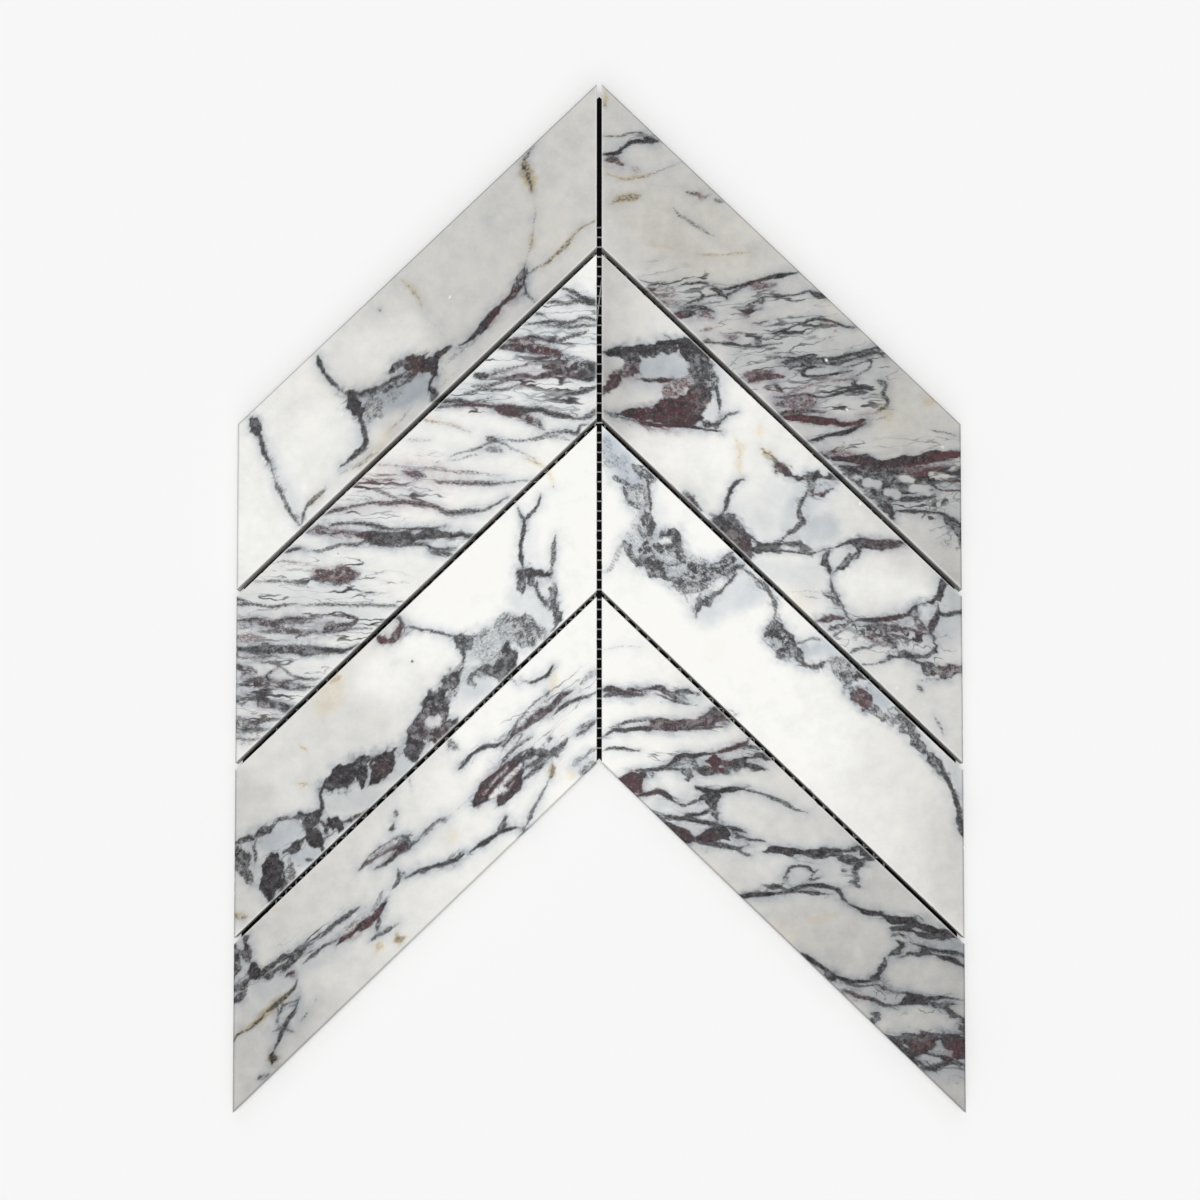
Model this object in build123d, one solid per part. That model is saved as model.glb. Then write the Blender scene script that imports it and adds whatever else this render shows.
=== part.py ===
from build123d import *
import math
import os

# A sheet of chevron marble mosaic, lying face up: +Y points to the apex, and the centre of the
# sheet's underside is the origin. Sizes are millimetres and degrees.

# One marble stave: a parallelogram with two long sloping edges and two upright ones.
STAVE_LENGTH = 200.0
STAVE_WIDTH = 48.0
STONE_THICKNESS = 10.0
RISE_ANGLE = 43.9
ARRIS = 0.4

# Joints as the sheet was laid: the upright one, then the sloping ones from the apex down.
SPINE_JOINT = 2.0
ROW_JOINTS = (2.1, 2.1, 1.8)

# The glass-fibre net that carries the staves.
NET_PITCH = 4.0
THREAD_WIDTH = 0.7
THREAD_THICKNESS = 0.25

# How far the net stops short of the sheet's edges, and where it is cut across below the apex.
NET_LEFT_INSET = 15.0
NET_RIGHT_INSET = 29.0
NET_TOP_INSET = 15.0
NET_NOTCH_INSET = 2.0
NET_APEX_CUT = 56.0
SHORTEST_THREAD = 2.0 * NET_PITCH

# What follows from the sizes above.
SLOPE = math.tan(math.radians(RISE_ANGLE))
PLUMB = 1.0 / math.cos(math.radians(RISE_ANGLE))
INNER_X = SPINE_JOINT / 2.0
COLUMN_WIDTH = STAVE_LENGTH / PLUMB
OUTER_X = INNER_X + COLUMN_WIDTH
COLUMN_RISE = COLUMN_WIDTH * SLOPE
STAVE_HEIGHT = STAVE_WIDTH * PLUMB
ROWS = len(ROW_JOINTS) + 1
COLUMN_HEIGHT = ROWS * STAVE_HEIGHT + sum(ROW_JOINTS) * PLUMB
APEX_Y = (COLUMN_HEIGHT + COLUMN_RISE) / 2.0
STONE_Z = 2.0 * THREAD_THICKNESS
NET_LEFT_X = NET_LEFT_INSET - OUTER_X
NET_RIGHT_X = OUTER_X - NET_RIGHT_INSET
NET_CUT_Y = APEX_Y - NET_APEX_CUT


def slope_y(start_y, x):
    """Height at x of a pair of sloping edges that start at the upright joint at start_y."""
    return start_y - max(abs(x) - INNER_X, 0.0) * SLOPE


def slope_x(start_y, y):
    """Distance from the centre line at which those edges come down to y."""
    return INNER_X + max(start_y - y, 0.0) / SLOPE


def stave(sign, row):
    """One marble stave of the left (-1) or right (+1) column, with its polished arrises eased."""
    start_y = APEX_Y - row * STAVE_HEIGHT - sum(ROW_JOINTS[:row]) * PLUMB
    inner_x = sign * INNER_X
    outer_x = sign * OUTER_X
    outline = Polyline(
        (inner_x, start_y),
        (outer_x, start_y - COLUMN_RISE),
        (outer_x, start_y - COLUMN_RISE - STAVE_HEIGHT),
        (inner_x, start_y - STAVE_HEIGHT),
        close=True,
    )
    block = Pos(0, 0, STONE_Z) * extrude(make_face(outline), STONE_THICKNESS, dir=(0, 0, 1))
    polished_edges = block.edges().group_by(Axis.Z)[-1]
    return chamfer(polished_edges, ARRIS)


def net_top(x):
    """The net's upper edge at x: beside the slope, and cut straight across below the apex."""
    return min(slope_y(APEX_Y - NET_TOP_INSET * PLUMB, x), NET_CUT_Y)


def net_bottom(x):
    """The net's lower edge at x, which follows the notch."""
    return slope_y(APEX_Y - COLUMN_HEIGHT + NET_NOTCH_INSET * PLUMB, x)


def thread(x_low, x_high, y_low, y_high, layer):
    """One flat strand of the net, lying in layer 0, or in layer 1 against the stones."""
    middle = Pos((x_low + x_high) / 2, (y_low + y_high) / 2, layer * THREAD_THICKNESS)
    strip = Rectangle(x_high - x_low, y_high - y_low)
    return middle * extrude(strip, THREAD_THICKNESS, dir=(0, 0, 1))


def warp_threads():
    """The upright strands, a pitch apart from the net's left edge."""
    strands = []
    x_low = NET_LEFT_X
    while x_low + THREAD_WIDTH <= NET_RIGHT_X:
        x_high = x_low + THREAD_WIDTH
        y_low = max(net_bottom(x_low), net_bottom(x_high))
        y_high = min(net_top(x_low), net_top(x_high))
        if y_high - y_low >= SHORTEST_THREAD:
            strands.append(thread(x_low, x_high, y_low, y_high, 0))
        x_low += NET_PITCH
    return strands


def weft_spans(y_low, y_high):
    """The stretches of one level strand: one, or one each side of the notch."""
    reach = slope_x(APEX_Y - NET_TOP_INSET * PLUMB, y_high)
    left = max(-reach, NET_LEFT_X)
    right = min(reach, NET_RIGHT_X)
    notch_y = net_bottom(0.0)
    if y_low >= notch_y:
        return [(left, right)]
    notch_x = slope_x(notch_y, y_low)
    return [(left, -notch_x), (notch_x, right)]


def weft_threads():
    """The level strands, a pitch apart from the cut below the apex down to the tips."""
    strands = []
    lowest = min(net_bottom(NET_LEFT_X), net_bottom(NET_RIGHT_X))
    y_high = NET_CUT_Y
    while y_high - THREAD_WIDTH >= lowest:
        y_low = y_high - THREAD_WIDTH
        for x_low, x_high in weft_spans(y_low, y_high):
            if x_high - x_low >= SHORTEST_THREAD:
                strands.append(thread(x_low, x_high, y_low, y_high, 1))
        y_high -= NET_PITCH
    return strands


def save(node, shape):
    """Writes one named piece."""
    export_step(shape, f"parts/{node}.step")


def main():
    os.makedirs("parts", exist_ok=True)
    for row in range(ROWS):
        save(f"marble_left_{row + 1}", stave(-1, row))
        save(f"marble_right_{row + 1}", stave(1, row))
    save("net_warp_threads", Compound(warp_threads()))
    save("net_weft_threads", Compound(weft_threads()))


if __name__ == "__main__":
    main()
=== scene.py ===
"""Chevron marble mosaic sheet: eight veined staves on a glass-fibre net, dressed around its model."""

import logging
import math
import re
from dataclasses import dataclass, field
from enum import Enum

import bpy
import numpy as np
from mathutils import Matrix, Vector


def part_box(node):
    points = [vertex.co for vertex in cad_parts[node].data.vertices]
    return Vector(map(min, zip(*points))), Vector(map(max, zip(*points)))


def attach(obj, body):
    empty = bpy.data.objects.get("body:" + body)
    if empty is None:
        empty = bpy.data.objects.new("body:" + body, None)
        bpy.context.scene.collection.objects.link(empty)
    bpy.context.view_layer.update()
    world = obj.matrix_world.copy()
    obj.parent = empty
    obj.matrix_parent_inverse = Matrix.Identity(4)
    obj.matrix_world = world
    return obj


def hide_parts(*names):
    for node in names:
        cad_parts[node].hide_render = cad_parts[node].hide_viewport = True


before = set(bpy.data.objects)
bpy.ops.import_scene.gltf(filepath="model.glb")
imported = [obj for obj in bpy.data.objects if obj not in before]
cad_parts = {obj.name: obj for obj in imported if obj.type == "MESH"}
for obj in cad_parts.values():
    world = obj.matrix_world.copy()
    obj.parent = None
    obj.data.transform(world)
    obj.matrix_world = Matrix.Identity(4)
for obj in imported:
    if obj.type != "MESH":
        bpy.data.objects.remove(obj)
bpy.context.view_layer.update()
LOG = logging.getLogger("marble sheet")
MM = 0.001
TINY = 1e-9
CORNER_SLACK = 1e-5
STROKE = re.compile(r"([A-Z]+) (\S+) (\S+)((?:\s+[-.\d]+,[-.\d]+)+)")
Array = np.ndarray
Colour = tuple[float, float, float]


def corners_of(node: str) -> Array:
    """The vertices of a CAD node, in m."""
    return np.array([vertex.co[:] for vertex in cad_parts[node].data.vertices])


def place_in_scene(name: str, data: bpy.types.ID) -> bpy.types.Object:
    """Makes an object of a mesh, light or camera and links it to the scene."""
    placed = bpy.data.objects.new(name, data)
    bpy.context.scene.collection.objects.link(placed)
    return placed


@dataclass(frozen=True, eq=False, order=False)
class Value:
    """A node's output that Python's operators turn into Math nodes.

    Attributes:
        bench: the tree that the output is in.
        socket: the output.
    """

    bench: "Bench"
    socket: bpy.types.NodeSocket

    def _math(self, operation: str, *parts: object, clamp: bool = False) -> "Value":
        """Adds a Math node.

        Args:
            operation: the node's operation.
            parts: its values or links, in order.
            clamp: whether the result is kept between 0 and 1.

        Returns:
            The node's result.
        """
        settings = {"operation": operation, "use_clamp": clamp}
        return self.bench.add("ShaderNodeMath", settings, dict(enumerate(parts)))

    def __add__(self, other: object) -> "Value":
        """Self plus other."""
        return self._math("ADD", self, other)

    def __radd__(self, other: object) -> "Value":
        """Other plus self."""
        return self._math("ADD", other, self)

    def __sub__(self, other: object) -> "Value":
        """Self minus other."""
        return self._math("SUBTRACT", self, other)

    def __rsub__(self, other: object) -> "Value":
        """Other minus self."""
        return self._math("SUBTRACT", other, self)

    def __mul__(self, other: object) -> "Value":
        """Self times other."""
        return self._math("MULTIPLY", self, other)

    def __rmul__(self, other: object) -> "Value":
        """Other times self."""
        return self._math("MULTIPLY", other, self)

    def __truediv__(self, other: object) -> "Value":
        """Self over other."""
        return self._math("DIVIDE", self, other)

    def __lt__(self, other: object) -> "Value":
        """1 where self is less than other, else 0."""
        return self._math("LESS_THAN", self, other)

    def __gt__(self, other: object) -> "Value":
        """1 where self is greater than other, else 0."""
        return self._math("GREATER_THAN", self, other)

    def __abs__(self) -> "Value":
        """Size of self without its sign."""
        return self._math("ABSOLUTE", self)

    def clamped(self) -> "Value":
        """Self kept between 0 and 1."""
        return self._math("ADD", self, 0.0, clamp=True)

    def at_least(self, other: object) -> "Value":
        """The greater of self and other."""
        return self._math("MAXIMUM", self, other)

    def cosine(self) -> "Value":
        """The cosine of self, in radians."""
        return self._math("COSINE", self)

    def step(self, low: float, high: float) -> "Value":
        """A smooth step.

        Args:
            low: value that gives 0.
            high: value that gives 1; it may be below low.

        Returns:
            0 to 1.
        """
        sockets = {"Value": self, "From Min": low, "From Max": high}
        return self.bench.add("ShaderNodeMapRange", {"interpolation_type": "SMOOTHSTEP"}, sockets)


@dataclass(frozen=True)
class Grain:
    """A cloudy noise.

    Attributes:
        scale: its largest features to the mm.
        detail: how many finer layers it has.
        rough: how strong those are.
        steps: values that a smooth step takes to 0 and to 1, or None for the noise as it is.
    """

    scale: float
    detail: float = 3.0
    rough: float = 0.5
    steps: tuple[float, float] | None = None


@dataclass(frozen=True)
class Bench:
    """The one way to add a node to a tree, of a material or of Geometry Nodes.

    Attributes:
        tree: the tree, which may have nodes already.
    """

    tree: bpy.types.NodeTree

    def raw(self, kind: str, settings: dict[str, object] | None = None,
            sockets: dict[int | str, object] | None = None) -> bpy.types.Node:
        """Adds a node.

        Args:
            kind: the node's type.
            settings: its properties, set first.
            sockets: its inputs by name or number, as numbers, colours, materials or links.

        Returns:
            The node.
        """
        node = self.tree.nodes.new(kind)
        for key, setting in (settings or {}).items():
            setattr(node, key, setting)
        for key, given in (sockets or {}).items():
            if isinstance(given, Value):
                self.tree.links.new(given.socket, node.inputs[key])
            else:
                node.inputs[key].default_value = given
        return node

    def add(self, kind: str, settings: dict[str, object] | None = None,
            sockets: dict[int | str, object] | None = None, out: int | str = 0) -> Value:
        """Adds a node and wraps one of its outputs.

        Args:
            kind: the node's type.
            settings: its properties.
            sockets: its inputs.
            out: name or number of the output.

        Returns:
            The output.
        """
        return Value(self, self.raw(kind, settings, sockets).outputs[out])

    def scaled(self, vector: Value, factors: tuple[float, float, float]) -> Value:
        """A vector times three factors."""
        return self.add("ShaderNodeVectorMath", {"operation": "MULTIPLY"}, {0: vector, 1: factors})

    def moved(self, vector: Value, offset: Value) -> Value:
        """A vector plus another."""
        return self.add("ShaderNodeVectorMath", {"operation": "ADD"}, {0: vector, 1: offset})

    def vector(self, x: object = 0.0, y: object = 0.0, z: object = 0.0) -> Value:
        """A vector of three parts."""
        return self.add("ShaderNodeCombineXYZ", {}, {"X": x, "Y": y, "Z": z})

    def parts(self, vector: Value, axes: str) -> list[Value]:
        """The parts of a vector that the letters X, Y and Z ask for."""
        return [self.add("ShaderNodeSeparateXYZ", {}, {0: vector}, out=axis) for axis in axes]

    def attribute(self, name: str, out: str = "Fac") -> Value:
        """A pattern that the mesh carries on its vertices."""
        return self.add("ShaderNodeAttribute", {"attribute_name": name}, out=out)

    def noise(self, vector: Value, grain: Grain, out: str = "Fac") -> Value:
        """Cloudy noise.

        Args:
            vector: place, in millimetres.
            grain: what the noise is like.
            out: Fac for a number, Color for three.

        Returns:
            The noise, about 0.5, or 0 to 1 where the grain has steps.
        """
        sockets = {"Vector": vector, "Scale": grain.scale, "Detail": grain.detail, "Roughness": grain.rough}
        cloud = self.add("ShaderNodeTexNoise", {}, sockets, out=out)
        return cloud.step(*grain.steps) if grain.steps else cloud

    def mix(self, amount: object, first: object, second: object, blend: str = "MIX") -> Value:
        """Blends two colours.

        Args:
            amount: how much of the second, 0 to 1.
            first: colour or link.
            second: colour or link.
            blend: the node's blend mode.

        Returns:
            The colour.
        """
        settings = {"data_type": "RGBA", "blend_type": blend}
        sides = [side if isinstance(side, Value) else (*side, 1.0) for side in (first, second)]
        return self.add("ShaderNodeMix", settings, {0: amount, 6: sides[0], 7: sides[1]}, out=2)


class Finish:
    """A material that a subclass dresses."""

    name: str = ""

    def make(self) -> bpy.types.Material:
        """Makes the material.

        Returns:
            The material.
        """
        material = bpy.data.materials.new(self.name)
        material.use_nodes = True
        material.node_tree.nodes.clear()
        bench = Bench(material.node_tree)
        shader = self.dress(bench)
        bench.raw("ShaderNodeOutputMaterial", {}, {"Surface": shader})
        return material

    def dress(self, bench: Bench) -> Value:
        """Builds the shader.

        Args:
            bench: the material's tree.

        Returns:
            The shader's output.
        """
        raise NotImplementedError

    @staticmethod
    def millimetres(bench: Bench) -> Value:
        """The place on the piece, in millimetres."""
        return bench.scaled(bench.add("ShaderNodeTexCoord", out="Object"), (1 / MM, 1 / MM, 1 / MM))


@dataclass(frozen=True)
class VeinedMarble(Finish):
    """Polished white marble with dark veins, burgundy and ochre stains and blue-grey clouds.

    What the eye sees as one feature is a pattern on the vertices, broken up by one of the grains below.
    A name that ends in DEPTH is how strong a feature is, and one that ends in EDGE what it steps between.
    The colour also holds painted light: highlights on joint arrises and glints, shade on the outer edges,
    and a whiteness that is partly painted light and shade.
    """

    name: str = "veined marble"
    white: Colour = (0.955, 0.952, 0.925)
    grey: Colour = (0.385, 0.378, 0.365)
    cream: Colour = (1.0, 0.93, 0.8)
    cloud: Colour = (0.58, 0.635, 0.71)
    ink: Colour = (0.008, 0.007, 0.008)
    ash: Colour = (0.05, 0.045, 0.049)
    haze: Colour = (0.14, 0.135, 0.14)
    wine: Colour = (0.11, 0.033, 0.039)
    rose: Colour = (0.72, 0.5, 0.52)
    ochre: Colour = (0.43, 0.34, 0.2)
    # Painted shade colour for the sheet's outer edges.
    outer_edge_shade: Colour = (0.4, 0.4, 0.4)
    dust: Colour = (0.5, 0.49, 0.465)
    # White of joint arrises and glints: a honed edge's own whiteness and painted highlight.
    honed_white_and_highlight: Colour = (0.98, 0.98, 0.98)
    polish: float = 0.16
    refraction: float = 1.52
    saw_marks_per_mm: float = 2.2

    FRAY = Grain(1.6, 4.0, 0.64)
    DUST = Grain(0.5, 4.0, 0.6)
    SHEEN = Grain(0.35, 2.0)
    WEB = Grain(0.55, 4.0, 0.6)
    FLECKS = Grain(0.9, 3.0, 0.6, (0.53, 0.66))
    MARL = Grain(0.36, 5.0, 0.7, (0.47, 0.6))
    SMOKE = Grain(0.5, 5.0, 0.66, (0.34, 0.7))
    BEND = Grain(0.3)
    LENSES = Grain(1.0, 2.2)
    SWELL = Grain(0.8, 2.0, 0.5, (0.43, 0.66))
    DRIFT = Grain(0.045, 3.0, 0.6)
    MIST = Grain(0.16, 5.0, 0.62)
    HALO = Grain(0.2, 4.0, 0.6)
    VEIL = Grain(0.14, 4.0, 0.6)
    SPECKS = Grain(2.6, 2.0, 0.7, (0.64, 0.74))
    WINE = Grain(0.28, 4.0, 0.6, (0.4, 0.6))
    CRUMB = Grain(0.42, 5.0, 0.74)
    ASHES = Grain(2.0, 3.0, 0.7, (0.52, 0.7))
    KERF = Grain(1.0, 2.0)

    FRAY_STRETCH = (0.5, 1.0, 1.0)
    DUST_DEPTH, DUST_DRIFT = 0.28, 0.3
    VEIN_MATT, SHEEN_DRIFT, SAWN_MATT = 0.07, 0.05, 0.42
    FULL_EDGE, FRAY_DEPTH, INK_EDGE = 4.0, 1.3, (0.05, 0.95)
    WEB_WIDTH, WEB_DEPTH = 0.09, 1.3
    FLECK_DEPTH, MARL_DEPTH, SMOKE_DEPTH = 0.12, 0.62, 0.75
    STREAKS_BY_VEINS = 0.45
    STREAK_STRETCH, STREAK_WIDTH = (0.05, 0.24, 1.0), 0.034
    CELL_STRETCH, CELL_WIDTH = (0.13, 0.2, 1.0), 0.035
    BEND_REACH, SWELL_REACH, THINNEST = (2.4, 2.4, 0.0), 2.6, 0.0005
    SHADE_REACH, SHADE_BASE = 3.5, 0.03
    LINE_EDGE, DENSITY_EDGE = (0.0, 0.75), (0.04, 0.5)
    LINE_DEPTH, LINE_SWELL = 0.38, 0.6
    TONE_DRIFT, TONE_MIST, TONE_FRAY = 0.35, 0.4, 0.12
    STAIN_FRAY, STAIN_DEPTH = 1.4, 1.6
    WARM_MIST, WARM_EDGE, WARM_DEPTH, WARM_FALL = 0.6, (0.02, 0.25), 0.6, 0.5
    OCHRE_EDGE, OCHRE_DEPTH = (0.45, 1.0), 0.8
    HALO_DEPTH, HALO_CUT = 2.6, 0.45
    VEIL_BASE, VEIL_DEPTH, SHADE_DEPTH = 0.45, 1.1, 0.8
    SPECK_DEPTH = 0.3
    WINE_FRAY, WINE_BASE, WINE_DEPTH, ROSE_DEPTH = 1.6, 0.3, 0.8, 0.4
    CRUMB_EDGE, PALE_DEPTH = (0.4, 0.62), 0.25
    WINE_DARK_BASE, WINE_DARK_DEPTH, ASHES_DEPTH = 0.25, 0.9, 0.45
    # Strength of the painted shade on the outer edges and of the painted highlight on the joint arrises.
    GRIME_DEPTH, ARRIS_DEPTH = 0.75, 0.35
    KERF_STRETCH = 0.05
    VEIN_RELIEF, BUMP_STRENGTH, BUMP_REACH = 0.15, 0.12, 0.0002

    def dress(self, bench: Bench) -> Value:
        """Builds the stone's shader from the patterns on its vertices and finer noise.

        Args:
            bench: the material's tree.

        Returns:
            The shader's output.
        """
        place = self.millimetres(bench)
        flow = bench.attribute("flow", "Vector")
        fray = bench.noise(bench.scaled(flow, self.FRAY_STRETCH), self.FRAY) - 0.5
        ink, shade = self._ink(bench, place, flow, fray)
        sawn = bench.attribute("sawn")
        colour = self._colours(bench, place, fray, ink, shade)
        dusty = sawn * (self.DUST_DEPTH + bench.noise(place, self.DUST) * self.DUST_DRIFT)
        colour = bench.mix(dusty, colour, self.dust)
        rough = self.polish + ink * self.VEIN_MATT + bench.noise(place, self.SHEEN) * self.SHEEN_DRIFT
        rough = rough + sawn * self.SAWN_MATT
        relief = self._relief(bench, place, ink, sawn)
        sockets = {"Base Color": colour, "Roughness": rough, "Normal": relief, "IOR": self.refraction}
        return bench.add("ShaderNodeBsdfPrincipled", {}, sockets)

    def _ink(self, bench: Bench, place: Value, flow: Value, fray: Value) -> tuple[Value, Value]:
        """How dark the veins are, 0 to 1.

        Args:
            bench: the material's tree.
            place: place in millimetres.
            flow: place along and across the bedding, in millimetres.
            fray: noise that roughens edges.

        Returns:
            The darkness, and the shading round the finest lines.
        """
        drawn = bench.attribute("ink")
        near = bench.attribute("halo")
        edge = drawn * (1 - drawn) * self.FULL_EDGE
        solid = (drawn + edge * fray * self.FRAY_DEPTH).clamped().step(*self.INK_EDGE)
        web = 1 - (abs(bench.noise(place, self.WEB) - 0.5) / self.WEB_WIDTH).clamped()
        core = (solid * (solid + (1 - solid) * web * self.WEB_DEPTH)).clamped()
        flecks = bench.noise(place, self.FLECKS) * self.FLECK_DEPTH * solid
        marl = bench.attribute("marl") * bench.noise(place, self.MARL) * self.MARL_DEPTH
        core = core * (1 - flecks) * (1 - marl)
        shoulder = near * near * near * bench.noise(place, self.SMOKE) * self.SMOKE_DEPTH
        density = bench.attribute("streaks").at_least(near * self.STREAKS_BY_VEINS)
        streaks, shade = self._ridges(bench, flow, self.STREAK_STRETCH, self.STREAK_WIDTH, density)
        density = bench.attribute("cells")
        cells, cell_shade = self._ridges(bench, flow, self.CELL_STRETCH, self.CELL_WIDTH, density)
        ink = core.at_least(streaks).at_least(cells).at_least(shoulder).clamped()
        return ink, shade.at_least(cell_shade)

    def _ridges(self, bench: Bench, flow: Value, stretch: tuple[float, float, float], width: float,
                density: Value) -> tuple[Value, Value]:
        """Thin dark lines round lens-shaped grains, thicker and denser where the density is high.

        Args:
            bench: the material's tree.
            flow: place along and across the bedding, in millimetres.
            stretch: features to the millimetre along, across and between staves.
            width: half width of a line, in parts of the noise.
            density: 0 for none to 1 for the most.

        Returns:
            The darkness of the lines, and the wider shading round them.
        """
        bent = bench.scaled(bench.noise(flow, self.BEND, out="Color"), self.BEND_REACH)
        along = bench.scaled(bench.moved(flow, bent), stretch)
        away = abs(bench.noise(along, self.LENSES) - 0.5)
        swell = bench.noise(along, self.SWELL)
        reach = (width + swell * width * self.SWELL_REACH) * density
        lines = (1 - away / reach.at_least(self.THINNEST)).clamped().step(*self.LINE_EDGE)
        shade = (1 - away / (reach * self.SHADE_REACH + self.SHADE_BASE)).clamped() * density
        lines = lines * density.step(*self.DENSITY_EDGE) * (self.LINE_DEPTH + swell * self.LINE_SWELL)
        return lines, shade

    def _colours(self, bench: Bench, place: Value, fray: Value, ink: Value, shade: Value) -> Value:
        """The stone's colour, with painted shade on the outer edges and painted highlight on joint arrises
        and glints.

        Args:
            bench: the material's tree.
            place: place in millimetres.
            fray: noise that roughens edges.
            ink: how dark the veins are.
            shade: shading round the finest lines.

        Returns:
            The colour.
        """
        # Whiteness drawn on the vertices: partly the stone's own tone, partly painted light and shade.
        own = bench.attribute("tone")
        patchy = self.WINE_BASE + bench.noise(place, self.WINE) * self.WINE_DEPTH
        wine = (bench.attribute("wine") * (1.0 + fray * self.WINE_FRAY) * patchy).clamped()
        body = self._body(bench, place, fray, shade, own)
        body = bench.mix(wine * self.ROSE_DEPTH, body, self.rose, "MULTIPLY")
        crumb = bench.noise(place, self.CRUMB)
        dark = bench.mix(crumb.step(*self.CRUMB_EDGE), self.ink, self.ash)
        dark = bench.mix(own * own * self.PALE_DEPTH, dark, self.haze)
        dark = bench.mix(wine * (self.WINE_DARK_BASE + crumb * self.WINE_DARK_DEPTH), dark, self.wine)
        dark = bench.mix(bench.noise(place, self.ASHES) * self.ASHES_DEPTH, dark, self.haze)
        veined = bench.mix(ink, body, dark)
        # Painted shade darkens the sheet's outer edges; painted highlight whitens the joint arrises, over a
        # honed edge's own whiteness, and the glints.
        arris = bench.attribute("arris")
        veined = bench.mix((arris * -self.GRIME_DEPTH).clamped(), veined, self.outer_edge_shade, "MULTIPLY")
        honing_and_light = (arris * self.ARRIS_DEPTH).clamped().at_least(bench.attribute("glint"))
        return bench.mix(honing_and_light, veined, self.honed_white_and_highlight)

    def _body(self, bench: Bench, place: Value, fray: Value, shade: Value, own: Value) -> Value:
        """The colour of the stone between its veins.

        Args:
            bench: the material's tree.
            place: place in millimetres.
            fray: noise that roughens edges.
            shade: shading round the finest lines.
            own: how white the stone is drawn: partly its own tone, partly painted light and shade.

        Returns:
            The colour.
        """
        drift = bench.noise(place, self.DRIFT) - 0.5
        mist = bench.noise(place, self.MIST) - 0.5
        tone = (own + drift * self.TONE_DRIFT + mist * self.TONE_MIST + fray * self.TONE_FRAY).clamped()
        body = bench.mix(tone, self.grey, self.white)
        warmth = (bench.attribute("stain") * (1.0 + fray * self.STAIN_FRAY)).clamped()
        cast = (drift + mist * self.WARM_MIST).step(*self.WARM_EDGE)
        cast = cast * (self.WARM_DEPTH - own * self.WARM_FALL)
        body = bench.mix((warmth * self.STAIN_DEPTH).at_least(cast).clamped(), body, self.cream, "MULTIPLY")
        body = bench.mix(warmth.step(*self.OCHRE_EDGE) * self.OCHRE_DEPTH, body, self.ochre)
        halo = (bench.noise(place, self.HALO) * self.HALO_DEPTH - self.HALO_CUT).clamped()
        drawn = bench.attribute("veil") * (self.VEIL_BASE + bench.noise(place, self.VEIL) * self.VEIL_DEPTH)
        veil = drawn.at_least(bench.attribute("halo") * halo).at_least(shade * self.SHADE_DEPTH).clamped()
        body = bench.mix(veil, body, self.cloud, "MULTIPLY")
        return bench.mix(bench.noise(place, self.SPECKS) * self.SPECK_DEPTH, body, self.white)

    def _relief(self, bench: Bench, place: Value, ink: Value, sawn: Value) -> Value:
        """Bump: veins a breath lower on the face, saw marks on the cut sides.

        Args:
            bench: the material's tree.
            place: place in millimetres.
            ink: how dark the veins are.
            sawn: 1 on the cut sides.

        Returns:
            The normal.
        """
        stretch = (self.KERF_STRETCH, self.KERF_STRETCH, self.saw_marks_per_mm)
        height = (1 - ink) * self.VEIN_RELIEF + sawn * bench.noise(bench.scaled(place, stretch), self.KERF)
        sockets = {"Strength": self.BUMP_STRENGTH, "Distance": self.BUMP_REACH, "Height": height}
        return bench.add("ShaderNodeBump", {}, sockets)


@dataclass(frozen=True)
class GlassFibreNet(Finish):
    """Resin-coated white glass-fibre threads, whose upper halves under the upper staves are painted dark as
    shade.

    Attributes:
        thread: colour of the bare threads.
        resin: colour of the thicker resin.
        thread_shade: colour of the painted shade on the threads in the upper joints.
        thread_shade_above: where the painted shade begins, as y plus the distance from the spine, in mm.
        bare_spine: how far each side of the spine stays free of it, in mm.
        thread_shade_from: height above the bed from which it darkens the threads, in mm.
    """

    name: str = "glass fibre net"
    thread: Colour = (0.78, 0.78, 0.76)
    resin: Colour = (0.55, 0.54, 0.5)
    # Painted shade colour for the threads in the upper joints.
    thread_shade: Colour = (0.035, 0.034, 0.033)
    thread_shade_above: float = 30.0
    bare_spine: float = 2.5
    thread_shade_from: float = 0.27

    SOAK = Grain(0.7, 3.0, 0.6, (0.45, 0.7))
    STRANDS = Grain(1.0, 2.0)
    STRAND_STRETCH = (5.0, 5.0, 5.0)
    SOAK_DEPTH = 0.7
    ROUGHNESS, ROUGHNESS_DRIFT = 0.38, 0.25
    BUMP_STRENGTH, BUMP_REACH = 0.4, 0.0001

    def dress(self, bench: Bench) -> Value:
        """Builds the threads' shader.

        Args:
            bench: the material's tree.

        Returns:
            The shader's output.
        """
        place = self.millimetres(bench)
        strands = bench.noise(bench.scaled(place, self.STRAND_STRETCH), self.STRANDS)
        colour = bench.mix(bench.noise(place, self.SOAK) * self.SOAK_DEPTH, self.thread, self.resin)
        x, y, z = bench.parts(place, "XYZ")
        # Painted shade: the threads' upper halves under the upper staves are darkened, away from the spine.
        upper = (y + abs(x) > self.thread_shade_above) * (abs(x) > self.bare_spine) * (z > self.thread_shade_from)
        colour = bench.mix(upper, colour, self.thread_shade)
        sockets = {"Strength": self.BUMP_STRENGTH, "Distance": self.BUMP_REACH, "Height": strands}
        relief = bench.add("ShaderNodeBump", {}, sockets)
        rough = self.ROUGHNESS + strands * self.ROUGHNESS_DRIFT
        sockets = {"Base Color": colour, "Roughness": rough, "Normal": relief}
        return bench.add("ShaderNodeBsdfPrincipled", {}, sockets)


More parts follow.
